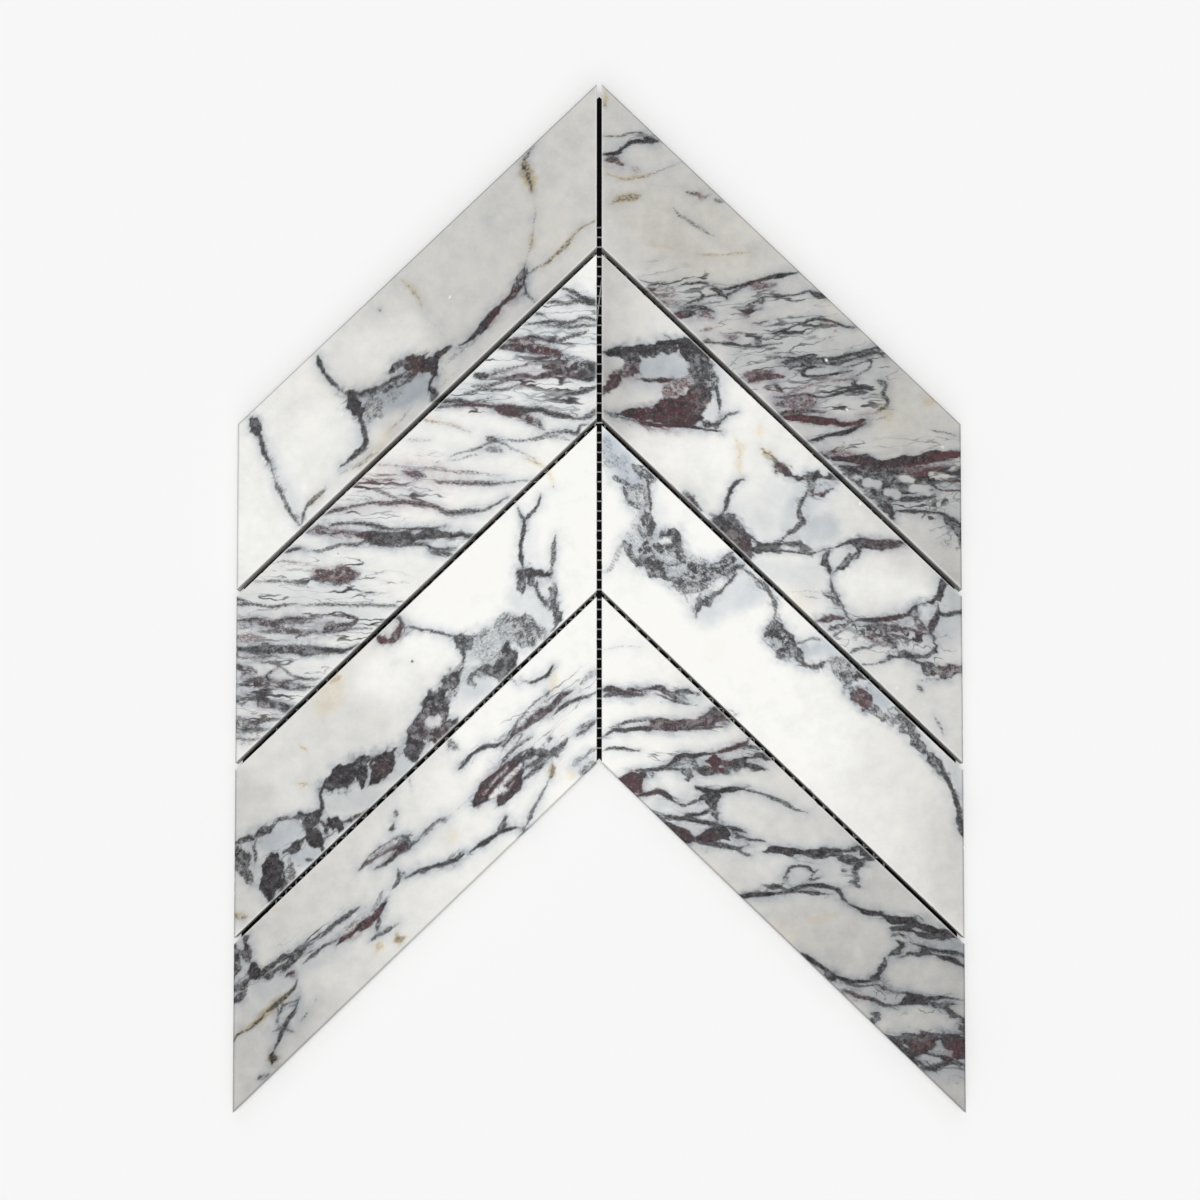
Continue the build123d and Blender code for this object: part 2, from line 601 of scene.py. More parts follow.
@dataclass(frozen=True)
class PaleFloor(Finish):
    """The studio's plain pale floor."""

    name: str = "pale floor"
    paint: Colour = (0.64, 0.64, 0.64)
    glow: float = 0.283
    roughness: float = 0.9

    def dress(self, bench: Bench) -> Value:
        """Builds the floor's shader, with a glow that keeps shadows on it pale.

        Args:
            bench: the material's tree.

        Returns:
            The shader's output.
        """
        sockets = {
            "Base Color": (*self.paint, 1.0), "Roughness": self.roughness, "Specular IOR Level": 0.0,
            "Emission Color": (1.0, 1.0, 1.0, 1.0), "Emission Strength": self.glow,
        }
        return bench.add("ShaderNodeBsdfPrincipled", {}, sockets)


@dataclass(frozen=True)
class JointShadeCard(PaleFloor):
    """A dark card under the sheet: painted shade that makes its joints read dark."""

    name: str = "dark card"
    paint: Colour = (0.012, 0.012, 0.013)
    glow: float = 0.0


class Kind(Enum):
    """What a mark in the stone is: its channel, softness and fraying in mm, and whether it adds."""

    VEIN = ("ink", 1.3, 0.25, True)
    HAIR = ("ink", 1.2, 0.22, True)
    PATCH = ("ink", 1.5, 0.85, True)
    WINE = ("wine", 1.8, 0.5, True)
    VEIL = ("veil", 8.0, 0.5, True)
    STAIN = ("stain", 2.2, 0.5, True)
    # GLINT marks are painted highlights: small white sparkles on the polished face.
    GLINT = ("glint", 0.5, 0.2, True)
    STREAKS = ("streaks", 6.0, 0.0, True)
    CELLS = ("cells", 6.0, 0.0, True)
    # LIGHT and SHADE whiten and grey the stone: partly its own tone, partly painted light and painted
    # shade.
    LIGHT = ("tone", 12.0, 0.0, True)
    SHADE = ("tone", 12.0, 0.0, False)
    PEBBLE = ("ink", 1.8, 0.4, False)
    PIT = ("ink", 0.6, 0.0, True)

    def __init__(self, channel: str, soft: float, fray: float, adds: bool) -> None:
        """Names the parts of the value.

        Args:
            channel: vertex attribute that the mark goes to.
            soft: width of its edge.
            fray: how far its edge wanders.
            adds: whether it adds to the channel or clears it.
        """
        self.channel = channel
        self.soft = soft
        self.fray = fray
        self.adds = adds


@dataclass(frozen=True)
class Mark:
    """One vein, patch or cloud in a stave, drawn along a path on the face. Its numbers are in mm.

    Attributes:
        kind: what it does to the stone.
        width: full width at its thickest.
        depth: how strong it is, up to 1.
        path: its points in the sheet's frame, as rows of x and y.
    """

    kind: Kind
    width: float
    depth: float
    path: Array

    @classmethod
    def read(cls, text: str) -> tuple["Mark", ...]:
        """Reads the marks of a stave.

        Args:
            text: features, each as its name, a colon and its strokes. A stroke is its kind, width,
                depth and points as "x,y", and may go on in the next line.

        Returns:
            The marks, in order.
        """
        marks = []
        for kind, width, depth, path in STROKE.findall(text):
            points = np.array([pair.split(",") for pair in path.split()], dtype=float)
            marks.append(cls(Kind[kind], float(width), float(depth), points))
        return tuple(marks)


class Ripple:
    """Smooth noise in the plane that is the same each run."""

    LATTICE = 64

    def __init__(self, seed: int, cell: float) -> None:
        """Draws the lattice.

        Args:
            seed: number that fixes the noise.
            cell: size of its largest features, in mm.
        """
        self.values = np.random.default_rng(seed).uniform(-1.0, 1.0, (self.LATTICE, self.LATTICE))
        self.cell = cell

    def at(self, x: Array, y: Array) -> Array:
        """The noise at some places.

        Args:
            x: first coordinates, in mm.
            y: second coordinates, in mm.

        Returns:
            Numbers from -1 to 1.
        """
        u, v = x / self.cell, y / self.cell
        i, j = np.floor(u).astype(int), np.floor(v).astype(int)
        a, b = u - i, v - j
        a, b = a * a * (3 - 2 * a), b * b * (3 - 2 * b)
        n = self.LATTICE
        low = self.values[i % n, j % n] * (1 - a) + self.values[(i + 1) % n, j % n] * a
        high = self.values[i % n, (j + 1) % n] * (1 - a) + self.values[(i + 1) % n, (j + 1) % n] * a
        return low * (1 - b) + high * b


class StonePattern:
    """Draws marks onto a set of places, as one array for each channel.

    Its numbers are in mm. FAR is how far apart a noise is read for x and for y, so that they differ.
    """

    CHANNELS = ("ink", "halo", "marl", "wine", "veil", "stain", "glint", "streaks", "cells")
    INKS = (Kind.VEIN, Kind.HAIR, Kind.PATCH)
    TAPERED = (*INKS, Kind.WINE, Kind.STAIN)
    CLEARED_BY_PEBBLE = ("ink", "halo", "wine", "streaks", "cells")
    FAR = ((91.0, 37.0), (53.0, 17.0), (29.0, 71.0))
    DRIFT_CELL, DRIFT_DEPTH = 6.5, 0.5
    FRAY_CELL, FINE_CELL, FINE_DEPTH = 1.7, 1.3, 0.6
    SWELL_CELL, SWELL_DEPTH, LUMP_CELL, LUMP_DEPTH = 3.8, 0.4, 1.4, 0.25
    TAPER = 0.25
    THIN_END = 0.4
    HALO_REACH = 5.0
    HALO_DEPTH = 0.72
    HALO_FULL_WIDTH = 1.6
    MARL_INSET = 1.3
    MARL_DEPTH = 0.2
    SOLID_DEPTH = 0.97
    BOLDNESS = 1.2
    FULL_SWELL = 2.7
    FEATHER = 0.7
    CURVE_STEPS = 4

    def __init__(self, x: Array, y: Array, run: Array, rise: Array, seed: int, tone: Array) -> None:
        """Starts a clear stone.

        Args:
            x: first coordinates of the places, in mm.
            y: second coordinates of the places, in mm.
            run: how far along the bedding they are, in mm, shortened where the stone is drawn out.
            rise: how far across the bedding they are, in mm.
            seed: number that fixes how edges wander.
            tone: how white the stone is drawn there, 0 to 1: partly its own tone, partly painted light and
                shade.
        """
        slow, quick = Ripple(seed, self.DRIFT_CELL), Ripple(seed + 1, self.FRAY_CELL)
        fine = Ripple(seed + 2, self.FINE_CELL)
        swell, lump = Ripple(seed + 3, self.SWELL_CELL), Ripple(seed + 4, self.LUMP_CELL)
        (ax, ay), (bx, by), (cx, cy) = self.FAR
        self.x = x + slow.at(x, y) * self.DRIFT_DEPTH
        self.y = y + slow.at(x + ax, y + ay) * self.DRIFT_DEPTH
        self.push_x = quick.at(run, rise) + fine.at(run, rise) * self.FINE_DEPTH
        self.push_y = quick.at(run + bx, rise + by) + fine.at(run + cx, rise + cy) * self.FINE_DEPTH
        self.swell = swell.at(run, rise) * self.SWELL_DEPTH + lump.at(run, rise) * self.LUMP_DEPTH
        self.channels = {name: np.zeros_like(x) for name in self.CHANNELS}
        self.channels["tone"] = tone.copy()

    def draw(self, mark: Mark) -> None:
        """Adds one mark.

        Args:
            mark: the mark.
        """
        kind = mark.kind
        path = self._curve(mark.path)
        room = mark.width + self.HALO_REACH + kind.soft
        near = (self.x > path[:, 0].min() - room) & (self.x < path[:, 0].max() + room)
        near &= (self.y > path[:, 1].min() - room) & (self.y < path[:, 1].max() + room)
        cover, beyond = self._cover(mark, path, near)
        cover *= mark.depth
        if kind in self.INKS:
            glow = (1.0 - np.clip(beyond / self.HALO_REACH, 0.0, 1.0)) ** 2
            glow *= self.HALO_DEPTH * mark.depth * min(1.0, mark.width / self.HALO_FULL_WIDTH)
            self.channels["halo"][near] = 1.0 - (1.0 - self.channels["halo"][near]) * (1.0 - glow)
        if kind is Kind.PATCH:
            mottled = np.clip(-beyond / self.MARL_INSET, 0.0, 1.0)
            mottled = mottled * min(1.0, (1.0 - mark.depth) / self.MARL_DEPTH)
            solid = self.channels["marl"][near] * (1.0 - cover * (mark.depth > self.SOLID_DEPTH))
            self.channels["marl"][near] = np.maximum(solid, mottled)
        for name in self.CLEARED_BY_PEBBLE if kind is Kind.PEBBLE else (kind.channel,):
            channel = self.channels[name]
            if not kind.adds:
                channel[near] *= 1.0 - cover
            elif kind is Kind.LIGHT:
                channel[near] += (1.0 - channel[near]) * cover
            else:
                channel[near] = np.maximum(channel[near], cover)

    def _curve(self, path: Array) -> Array:
        """Rounds a path's corners, with a Catmull-Rom curve through all its points."""
        if len(path) < 3:
            return path
        ends = np.vstack([2 * path[0] - path[1], path, 2 * path[-1] - path[-2]])
        before, start, end, after = ends[:-3], ends[1:-2], ends[2:-1], ends[3:]
        rounds = []
        for step in range(self.CURVE_STEPS):
            t = step / self.CURVE_STEPS
            bend = (2 * before - 5 * start + 4 * end - after) * t * t
            twist = (3 * start - before - 3 * end + after) * t ** 3
            rounds.append((2 * start + (end - before) * t + bend + twist) / 2)
        return np.vstack([np.stack(rounds, 1).reshape(-1, 2), path[-1:]])

    def _cover(self, mark: Mark, path: Array, near: Array) -> tuple[Array, Array]:
        """How far some places are inside a mark.

        Args:
            mark: the mark.
            path: its rounded path.
            near: which places are asked for.

        Returns:
            0 outside, 1 inside, and between them across the soft edge, and the mm beyond its edge.
        """
        kind = mark.kind
        x = self.x[near] + self.push_x[near] * kind.fray
        y = self.y[near] + self.push_y[near] * kind.fray
        steps = np.diff(path, axis=0)
        lengths = np.hypot(*steps.T)
        total = max(lengths.sum(), TINY)
        best = np.hypot(x - path[0, 0], y - path[0, 1])
        along = np.zeros_like(x)
        start = 0.0
        for (px, py), (dx, dy), length in zip(path, steps, lengths):
            part = np.clip(((x - px) * dx + (y - py) * dy) / max(length * length, TINY), 0.0, 1.0)
            away = np.hypot(x - px - part * dx, y - py - part * dy)
            nearer = away < best
            best = np.where(nearer, away, best)
            along = np.where(nearer, start + part * length, along)
            start += length
        taper = 1.0
        if len(path) > 1 and kind in self.TAPERED:
            end = np.minimum(along, total - along) / (total * self.TAPER)
            taper = self.THIN_END + (1 - self.THIN_END) * np.clip(end, 0.0, 1.0)
        swell = self.swell[near] * min(1.0, self.FULL_SWELL / mark.width)
        half = mark.width / 2 * self.BOLDNESS * taper * (1.0 + swell)
        soft = kind.soft if kind.channel == "ink" else max(kind.soft, mark.width * self.FEATHER)
        edge = np.clip((half - best) / soft + 0.5, 0.0, 1.0)
        return edge * edge * (3 - 2 * edge), best - half


@dataclass(frozen=True)
class Outline:
    """A stave's outline, from its CAD node. Its numbers are in mm.

    Attributes:
        corner: inner low corner.
        along: long edge.
        upright: upright edge.
        side: -1 for the left column, 1 for the right one.
        back: height of the sawn back.
        face: height of the polished face.
    """

    SLACK = 0.01

    corner: Array
    along: Array
    upright: Array
    side: float
    back: float
    face: float

    @classmethod
    def of(cls, node: str) -> "Outline":
        """Reads a stave's outline.

        Args:
            node: its CAD node.

        Returns:
            The outline.
        """
        found = corners_of(node) / MM
        side = float(np.sign(found[:, 0].mean()))
        reach = found[:, 0] * side
        inner = found[reach < reach.min() + cls.SLACK]
        outer = found[reach > reach.max() - cls.SLACK]
        low, high = inner[:, 1].min(), inner[:, 1].max()
        corner = np.array([inner[0, 0], low])
        along = np.array([outer[0, 0] - inner[0, 0], outer[:, 1].min() - low])
        upright = np.array([0.0, high - low])
        return cls(corner, along, upright, side, found[:, 2].min(), found[:, 2].max())

    def places(self, inset: Array | float, s: Array, t: Array) -> Array:
        """Places at parts s and t of the outline drawn in by an inset.

        Args:
            inset: how far each place's outline is drawn in.
            s: part along, 0 to 1.
            t: part up, 0 to 1.

        Returns:
            Rows of x and y.
        """
        a, b = np.linalg.norm(self.along), np.linalg.norm(self.upright)
        skew = abs(self.along[0] * self.upright[1] - self.along[1] * self.upright[0]) / (a * b)
        draw = np.asarray(inset) / skew
        s = (draw / a) + s * (1 - 2 * draw / a)
        t = (draw / b) + t * (1 - 2 * draw / b)
        return self.corner + np.outer(s, self.along) + np.outer(t, self.upright)


@dataclass
class Shell:
    """A stave's closed shell while it is built, ring by ring.

    Attributes:
        layers: vertices in mm, layer by layer.
        sawn: how sawn each vertex is, 0 to 1.
        arris: near joint arrises, a honed edge's whiteness plus painted highlight; below 0 at the outer
            edge, painted shade.
        polygons: vertex numbers of each polygon.
        count: how many vertices there are.
    """

    layers: list[Array] = field(default_factory=list)
    sawn: list[Array] = field(default_factory=list)
    arris: list[Array] = field(default_factory=list)
    polygons: list[list[int]] = field(default_factory=list)
    count: int = 0

    def layer(self, places: Array, level: Array | float, sawn: float, arris: Array | float) -> int:
        """Adds a layer of vertices.

        Args:
            places: rows of x and y.
            level: their height.
            sawn: how sawn they are.
            arris: how near an arris they are.

        Returns:
            The number of its first vertex.
        """
        size, start = len(places), self.count
        self.layers.append(np.column_stack([places, np.broadcast_to(level, size)]))
        self.sawn.append(np.full(size, sawn))
        self.arris.append(np.broadcast_to(arris, size).astype(float))
        self.count += size
        return start

    def grid(self, n: int, m: int, start: int, downwards: bool) -> None:
        """Adds the quads of a grid of n by m cells whose vertices begin at start."""
        i, j = np.meshgrid(np.arange(n), np.arange(m), indexing="ij")
        low = (start + i * (m + 1) + j).ravel()
        quads = np.column_stack([low, low + m + 1, low + m + 2, low + 1])
        self.polygons += (quads[:, ::-1] if downwards else quads).tolist()

    def band(self, upper: Array, lower: Array) -> None:
        """Adds the quads between two rings of as many vertices."""
        self.polygons += np.column_stack([upper, lower, np.roll(lower, -1), np.roll(upper, -1)]).tolist()

    def close(self, upper: Array, lower: Array) -> None:
        """Adds the polygons between a ring and a coarser one, each with one lower edge."""
        step = len(upper) // len(lower)
        for k, first in enumerate(lower):
            above = [int(upper[(k * step + q) % len(upper)]) for q in range(step, -1, -1)]
            self.polygons.append([*above, int(first), int(lower[(k + 1) % len(lower)])])


@dataclass
class Stave:
    """One marble stave: a fine closed mesh that carries its stone's pattern on its vertices.

    Attributes:
        node: the CAD node that it stands for.
        marks: what the stone shows.
        bedding: angle of its streaks, in degrees anticlockwise from +X.
        drawn_out: how much longer than wide its smallest shapes are.
        tones_with_light: how white the stone is drawn, 0 to 1, at even steps from the spine outwards:
            partly its own tone, partly painted light and shade.
        seed: number that fixes its finer pattern.
        across: columns of the face's grid, a multiple of BACK_STEP.
        up: rows of the face's grid, a multiple of BACK_STEP.
        arris: width of the eased edge, in mm.
        dip: how far the veins lean sideways for each mm down.
    """

    BACK_STEP = 2
    WALL_ROWS = 4
    ARRIS_PROFILE = ((0.5, 0.12), (0.16, 0.42), (0.0, 1.0))
    ARRIS_SAWN, FACE_BRIGHT = 0.6, 0.6
    SHARP_FROM = math.radians(34.0)
    DIP_UP = 0.6
    FLOW_APART = 7.3
    LONG_CHIP_CELL, LONG_CHIP_DEPTH = 3.1, 0.5
    NICK_CELL, NICK_DEPTH = 0.9, 0.6
    CHIPS_FROM, CHIP_SIZE = 0.42, 0.45
    CHIP_IN, CHIP_DOWN = 0.6, 0.8

    node: str
    marks: tuple[Mark, ...]
    bedding: float
    drawn_out: float
    tones_with_light: tuple[float, ...]
    seed: int
    across: int = 280
    up: int = 128
    arris: float = 0.4
    dip: float = 0.35

    def build(self, marble: bpy.types.Material) -> bpy.types.Object:
        """Makes the stave in place of its CAD node.

        Args:
            marble: the stone's material.

        Returns:
            The stave.
        """
        outline = Outline.of(self.node)
        shell = self._shell(outline)
        polygons = shell.polygons if outline.side > 0 else [polygon[::-1] for polygon in shell.polygons]
        spots = np.vstack(shell.layers)
        mesh = bpy.data.meshes.new(f"veined_{self.node}")
        mesh.from_pydata(spots * MM, [], polygons)
        mesh.shade_smooth()
        mesh.set_sharp_from_angle(angle=self.SHARP_FROM)
        edges = {"sawn": np.concatenate(shell.sawn), "arris": np.concatenate(shell.arris)}
        self._carry(mesh, spots, spots[:, 2] - outline.face, edges)
        mesh.materials.append(marble)
        return place_in_scene(f"veined_{self.node}", mesh)

    def _rim(self) -> tuple[Array, Array]:
        """Columns and rows of the face's grid along its rim, once round."""
        n, m = self.across, self.up
        i = [*range(n), *[n] * m, *range(n, 0, -1), *[0] * m]
        j = [*[0] * n, *range(m), *[m] * n, *range(m, 0, -1)]
        return np.array(i), np.array(j)

    def _shell(self, outline: Outline) -> Shell:
        """Makes the closed shell: face, eased arris, sawn sides and a coarser back.

        Args:
            outline: the stave's outline.

        Returns:
            The shell.
        """
        n, m, step = self.across, self.up, self.BACK_STEP
        i, j = self._rim()
        s, t = i / n, j / m
        outer_end = i == n
        top, bottom = (j == m) & self.node.endswith("1"), (j == 0) & self.node.endswith("4")
        # Joint arrises get painted highlight over a honed edge's own whiteness; the sheet's outer edges get
        # painted shade.
        honing_and_light = np.where(outer_end | top | bottom, -1.0, 1.0)
        shell = Shell()
        grid_i, grid_j = np.meshgrid(np.arange(n + 1), np.arange(m + 1), indexing="ij")
        face = outline.places(self.arris, grid_i.ravel() / n, grid_j.ravel() / m)
        ring = i * (m + 1) + j
        near_rim = np.zeros(len(face))
        # The face's rim takes part of the same painted highlight and painted shade.
        near_rim[ring] = honing_and_light * self.FACE_BRIGHT
        shell.layer(face, outline.face, 0.0, near_rim)
        rings = [ring]
        rim = outline.places(0.0, s, t)
        chip = self._chips(rim)
        for part, drop in self.ARRIS_PROFILE:
            places = outline.places(self.arris * part + chip * self.CHIP_IN, s, t)
            level = outline.face - self.arris * drop - chip * self.CHIP_DOWN
            start = shell.layer(places, level, drop * self.ARRIS_SAWN, honing_and_light)
            rings.append(np.arange(start, shell.count))
        for level in np.linspace(outline.face - self.arris, outline.back, self.WALL_ROWS + 1)[1:-1]:
            start = shell.layer(rim, level, 1.0, 0.0)
            rings.append(np.arange(start, shell.count))
        back_i, back_j = np.meshgrid(np.arange(0, n + 1, step), np.arange(0, m + 1, step), indexing="ij")
        back = outline.places(0.0, back_i.ravel() / n, back_j.ravel() / m)
        start = shell.layer(back, outline.back, 1.0, 0.0)
        shell.grid(n, m, 0, False)
        shell.grid(n // step, m // step, start, True)
        for upper, lower in zip(rings, rings[1:]):
            shell.band(upper, lower)
        shell.close(rings[-1], start + (i[::step] // step) * (m // step + 1) + j[::step] // step)
        return shell

    def _chips(self, rim: Array) -> Array:
        """How much is chipped off the arris at each place of the outline, in mm."""
        run = np.concatenate([[0.0], np.cumsum(np.hypot(*np.diff(rim, axis=0).T))])
        row = np.full(len(run), float(self.seed))
        long_chips = Ripple(self.seed + 7, self.LONG_CHIP_CELL).at(run, row) * self.LONG_CHIP_DEPTH
        nicks = Ripple(self.seed + 8, self.NICK_CELL).at(run, row) * self.NICK_DEPTH
        return np.clip(long_chips + nicks - self.CHIPS_FROM, 0.0, 1.0) * self.CHIP_SIZE

    def _carry(self, mesh: bpy.types.Mesh, spots: Array, below: Array, edges: dict[str, Array]) -> None:
        """Puts the stone's pattern on the vertices.

        Args:
            mesh: the stave's mesh.
            spots: its vertices, in mm.
            below: their height above the face, which is 0 or less.
            edges: how sawn and how near an arris each is.
        """
        x, y = spots[:, 0] + below * self.dip, spots[:, 1] + below * self.dip * self.DIP_UP
        # Whiteness along the stave: partly the stone's own tone, partly painted light and shade.
        steps = np.linspace(0.0, np.abs(x).max(), len(self.tones_with_light))
        tone = np.interp(np.abs(x), steps, self.tones_with_light)
        angle = math.radians(self.bedding)
        run = x * math.cos(angle) + y * math.sin(angle)
        rise = y * math.cos(angle) - x * math.sin(angle)
        stone = StonePattern(x, y, run / self.drawn_out, rise, self.seed, tone)
        for mark in self.marks:
            stone.draw(mark)
        flow = np.column_stack([run, rise, np.full(len(x), self.seed * self.FLOW_APART)])
        attribute = mesh.attributes.new("flow", "FLOAT_VECTOR", "POINT")
        attribute.data.foreach_set("vector", flow.astype(np.float32).ravel())
        for name, values in {**stone.channels, **edges}.items():
            attribute = mesh.attributes.new(name, "FLOAT", "POINT")
            attribute.data.foreach_set("value", values.astype(np.float32))


@dataclass
class NetWeave:
    """The glass-fibre net: upright and level threads that pass over and under each other.

    The same Geometry Nodes tree weaves either set. Sizes and places are in mm. WAYS is which way the
    threads follow the first one, along x for the upright ones and along y for the level ones.

    Attributes:
        pitch: from thread to thread.
        first: middle of the first upright thread and of the first level one.
        counts: how many upright and how many level threads there are.
        width: of a thread.
        thickness: of a thread.
        rise: how far a crossing lifts a thread above or below the net's middle.
        middle: height of the net's middle.
        sides: its left and right edge.
        cut: height at which it is cut straight across.
        shoulder: where its upper edge would meet the spine.
        notch: where its lower edge meets the spine.
        slope: fall of both edges for each mm outwards.
        drag: how far the upright threads by the spine are pulled aside.
        waver: how far the whole net wanders.
    """

    SOCKETS = {int: "Int", float: "Float", bpy.types.Material: "Material"}
    WAYS = (1.0, -1.0)
    SAMPLES_PER_PITCH = 2
    PROFILE_SIDES = 6
    WANDER = Grain(0.02, 1.0)
    DRAG_FROM, DRAG_TO, DRAG_REACH = 145.0, 100.0, 60.0

    pitch: float = 4.0
    first: tuple[float, float] = (-129.76, 150.38)
    counts: tuple[int, int] = (62, 109)
    width: float = 0.7
    thickness: float = 0.21
    rise: float = 0.12
    middle: float = 0.25
    sides: tuple[float, float] = (-130.0, 116.0)
    cut: float = 150.6
    shoulder: float = 185.9
    notch: float = -64.3
    slope: float = 0.9623
    drag: float = 4.0
    waver: float = 0.5

    def build(self, node: str, net: bpy.types.Material) -> bpy.types.Object:
        """Makes one set of threads in place of its CAD node.

        Args:
            node: the CAD node of the upright or of the level threads.
            net: the threads' material.

        Returns:
            The threads.
        """
        level = node == "net_weft_threads"
        own, other = (1, 0) if level else (0, 1)
        inputs = {
            "Threads": self.counts[own],
            "First thread": self.first[own],
            "Pitch": self.pitch * self.WAYS[own],
            "Samples": self.counts[other] * self.SAMPLES_PER_PITCH,
            "First sample": self.first[other],
            "Step": self.pitch / self.SAMPLES_PER_PITCH * self.WAYS[other],
            "Level": float(level),
            "Width": self.width,
            "Thickness": self.thickness,
            "Rise": -self.rise if level else self.rise,
            "Material": net,
        }
        base = place_in_scene("net base", bpy.data.meshes.new("net base"))
        modifier = base.modifiers.new("weave", "NODES")
        modifier.node_group = self._tree(inputs)
        for socket in modifier.node_group.interface.items_tree:
            if socket.in_out == "INPUT":
                modifier[socket.identifier] = inputs[socket.name]
        settled = bpy.context.evaluated_depsgraph_get()
        mesh = bpy.data.meshes.new_from_object(base.evaluated_get(settled))
        base.modifiers.remove(modifier)
        bpy.data.objects.remove(base)
        mesh.name = f"woven_{node}"
        mesh.shade_smooth()
        return place_in_scene(f"woven_{node}", mesh)

    def _tree(self, inputs: dict[str, object]) -> bpy.types.NodeTree:
        """Makes the tree that weaves one set of threads.

        Args:
            inputs: name and value of each of its inputs, whose type its socket gets.

        Returns:
            The tree.
        """
        tree = bpy.data.node_groups.new("net weave", "GeometryNodeTree")
        for name, given in inputs.items():
            kind = f"NodeSocket{self.SOCKETS[type(given)]}"
            tree.interface.new_socket(name=name, in_out="INPUT", socket_type=kind)
        tree.interface.new_socket(name="Geometry", in_out="OUTPUT", socket_type="NodeSocketGeometry")
        bench = Bench(tree)
        entry = bench.raw("NodeGroupInput")
        size = {name: Value(bench, entry.outputs[name]) for name in inputs}
        threads = self._lattice(bench, size)
        sockets = {"Resolution": self.PROFILE_SIDES, "Radius": 1.0}
        ring = bench.add("GeometryNodeCurvePrimitiveCircle", {}, sockets)
        section = bench.vector(size["Width"] * 0.5, size["Thickness"] * 0.5, 1.0)
        profile = bench.add("GeometryNodeTransform", {}, {"Geometry": ring, "Scale": section})
        curves = bench.add("GeometryNodeMeshToCurve", {}, {"Mesh": threads})
        curves = bench.add("GeometryNodeSetCurveNormal", {"mode": "Z_UP"}, {"Curve": curves})
        sockets = {"Curve": curves, "Profile Curve": profile, "Fill Caps": True}
        tubes = bench.add("GeometryNodeCurveToMesh", {}, sockets)
        tubes = bench.add("GeometryNodeTransform", {}, {"Geometry": tubes, "Scale": (MM, MM, MM)})
        tubes = bench.add("GeometryNodeRealizeInstances", {}, {"Geometry": tubes})
        sockets = {"Geometry": tubes, "Material": size["Material"]}
        dressed = bench.add("GeometryNodeSetMaterial", {}, sockets)
        bench.raw("NodeGroupOutput", {}, {"Geometry": dressed})
        return tree

    def _lattice(self, bench: Bench, size: dict[str, Value]) -> Value:
        """Lines along the threads, cut to the net's outline, woven and wavering.

        Args:
            bench: the tree.
            size: the tree's inputs.

        Returns:
            The lines, as a mesh in mm.
        """
        begin, offset = bench.vector(y=size["First sample"]), bench.vector(y=size["Step"])
        sockets = {"Count": size["Samples"], "Start Location": begin, "Offset": offset}
        strand = bench.add("GeometryNodeMeshLine", {"mode": "OFFSET"}, sockets)
        begin, offset = bench.vector(size["First thread"]), bench.vector(size["Pitch"])
        sockets = {"Count": size["Threads"], "Start Location": begin, "Offset": offset}
        places = bench.add("GeometryNodeMeshLine", {"mode": "OFFSET"}, sockets)
        lines = bench.add("GeometryNodeInstanceOnPoints", {}, {"Points": places, "Instance": strand})
        lines = bench.add("GeometryNodeRealizeInstances", {}, {"Geometry": lines})
        place = bench.add("GeometryNodeInputPosition")
        across, along = bench.parts(place, "XY")
        level = size["Level"]
        x = across + (along - across) * level
        y = along + (across - along) * level
        turn = math.pi / self.pitch
        wave = (x * turn - turn * self.first[0]).cosine() * (y * turn - turn * self.first[1]).cosine()
        pull = y.step(self.DRAG_FROM, self.DRAG_TO) * abs(x).step(self.DRAG_REACH, 0.0)
        lateral = x - pull * (1 - level) * self.drag
        height = wave * size["Rise"] + self.middle
        cloud = bench.noise(bench.vector(x, y), self.WANDER, out="Color")
        wander = bench.moved(cloud, bench.vector(-0.5, -0.5, -0.5))
        wander = bench.scaled(wander, (self.waver, self.waver, 0.0))
        woven = bench.moved(bench.vector(lateral, y, height), wander)
        edge = y + abs(x) * self.slope
        outside = (edge > self.shoulder).at_least(edge < self.notch).at_least(y > self.cut)
        outside = outside.at_least(x < self.sides[0]).at_least(x > self.sides[1])
        lines = bench.add("GeometryNodeDeleteGeometry", {}, {"Geometry": lines, "Selection": outside})
        return bench.add("GeometryNodeSetPosition", {}, {"Geometry": lines, "Position": woven})


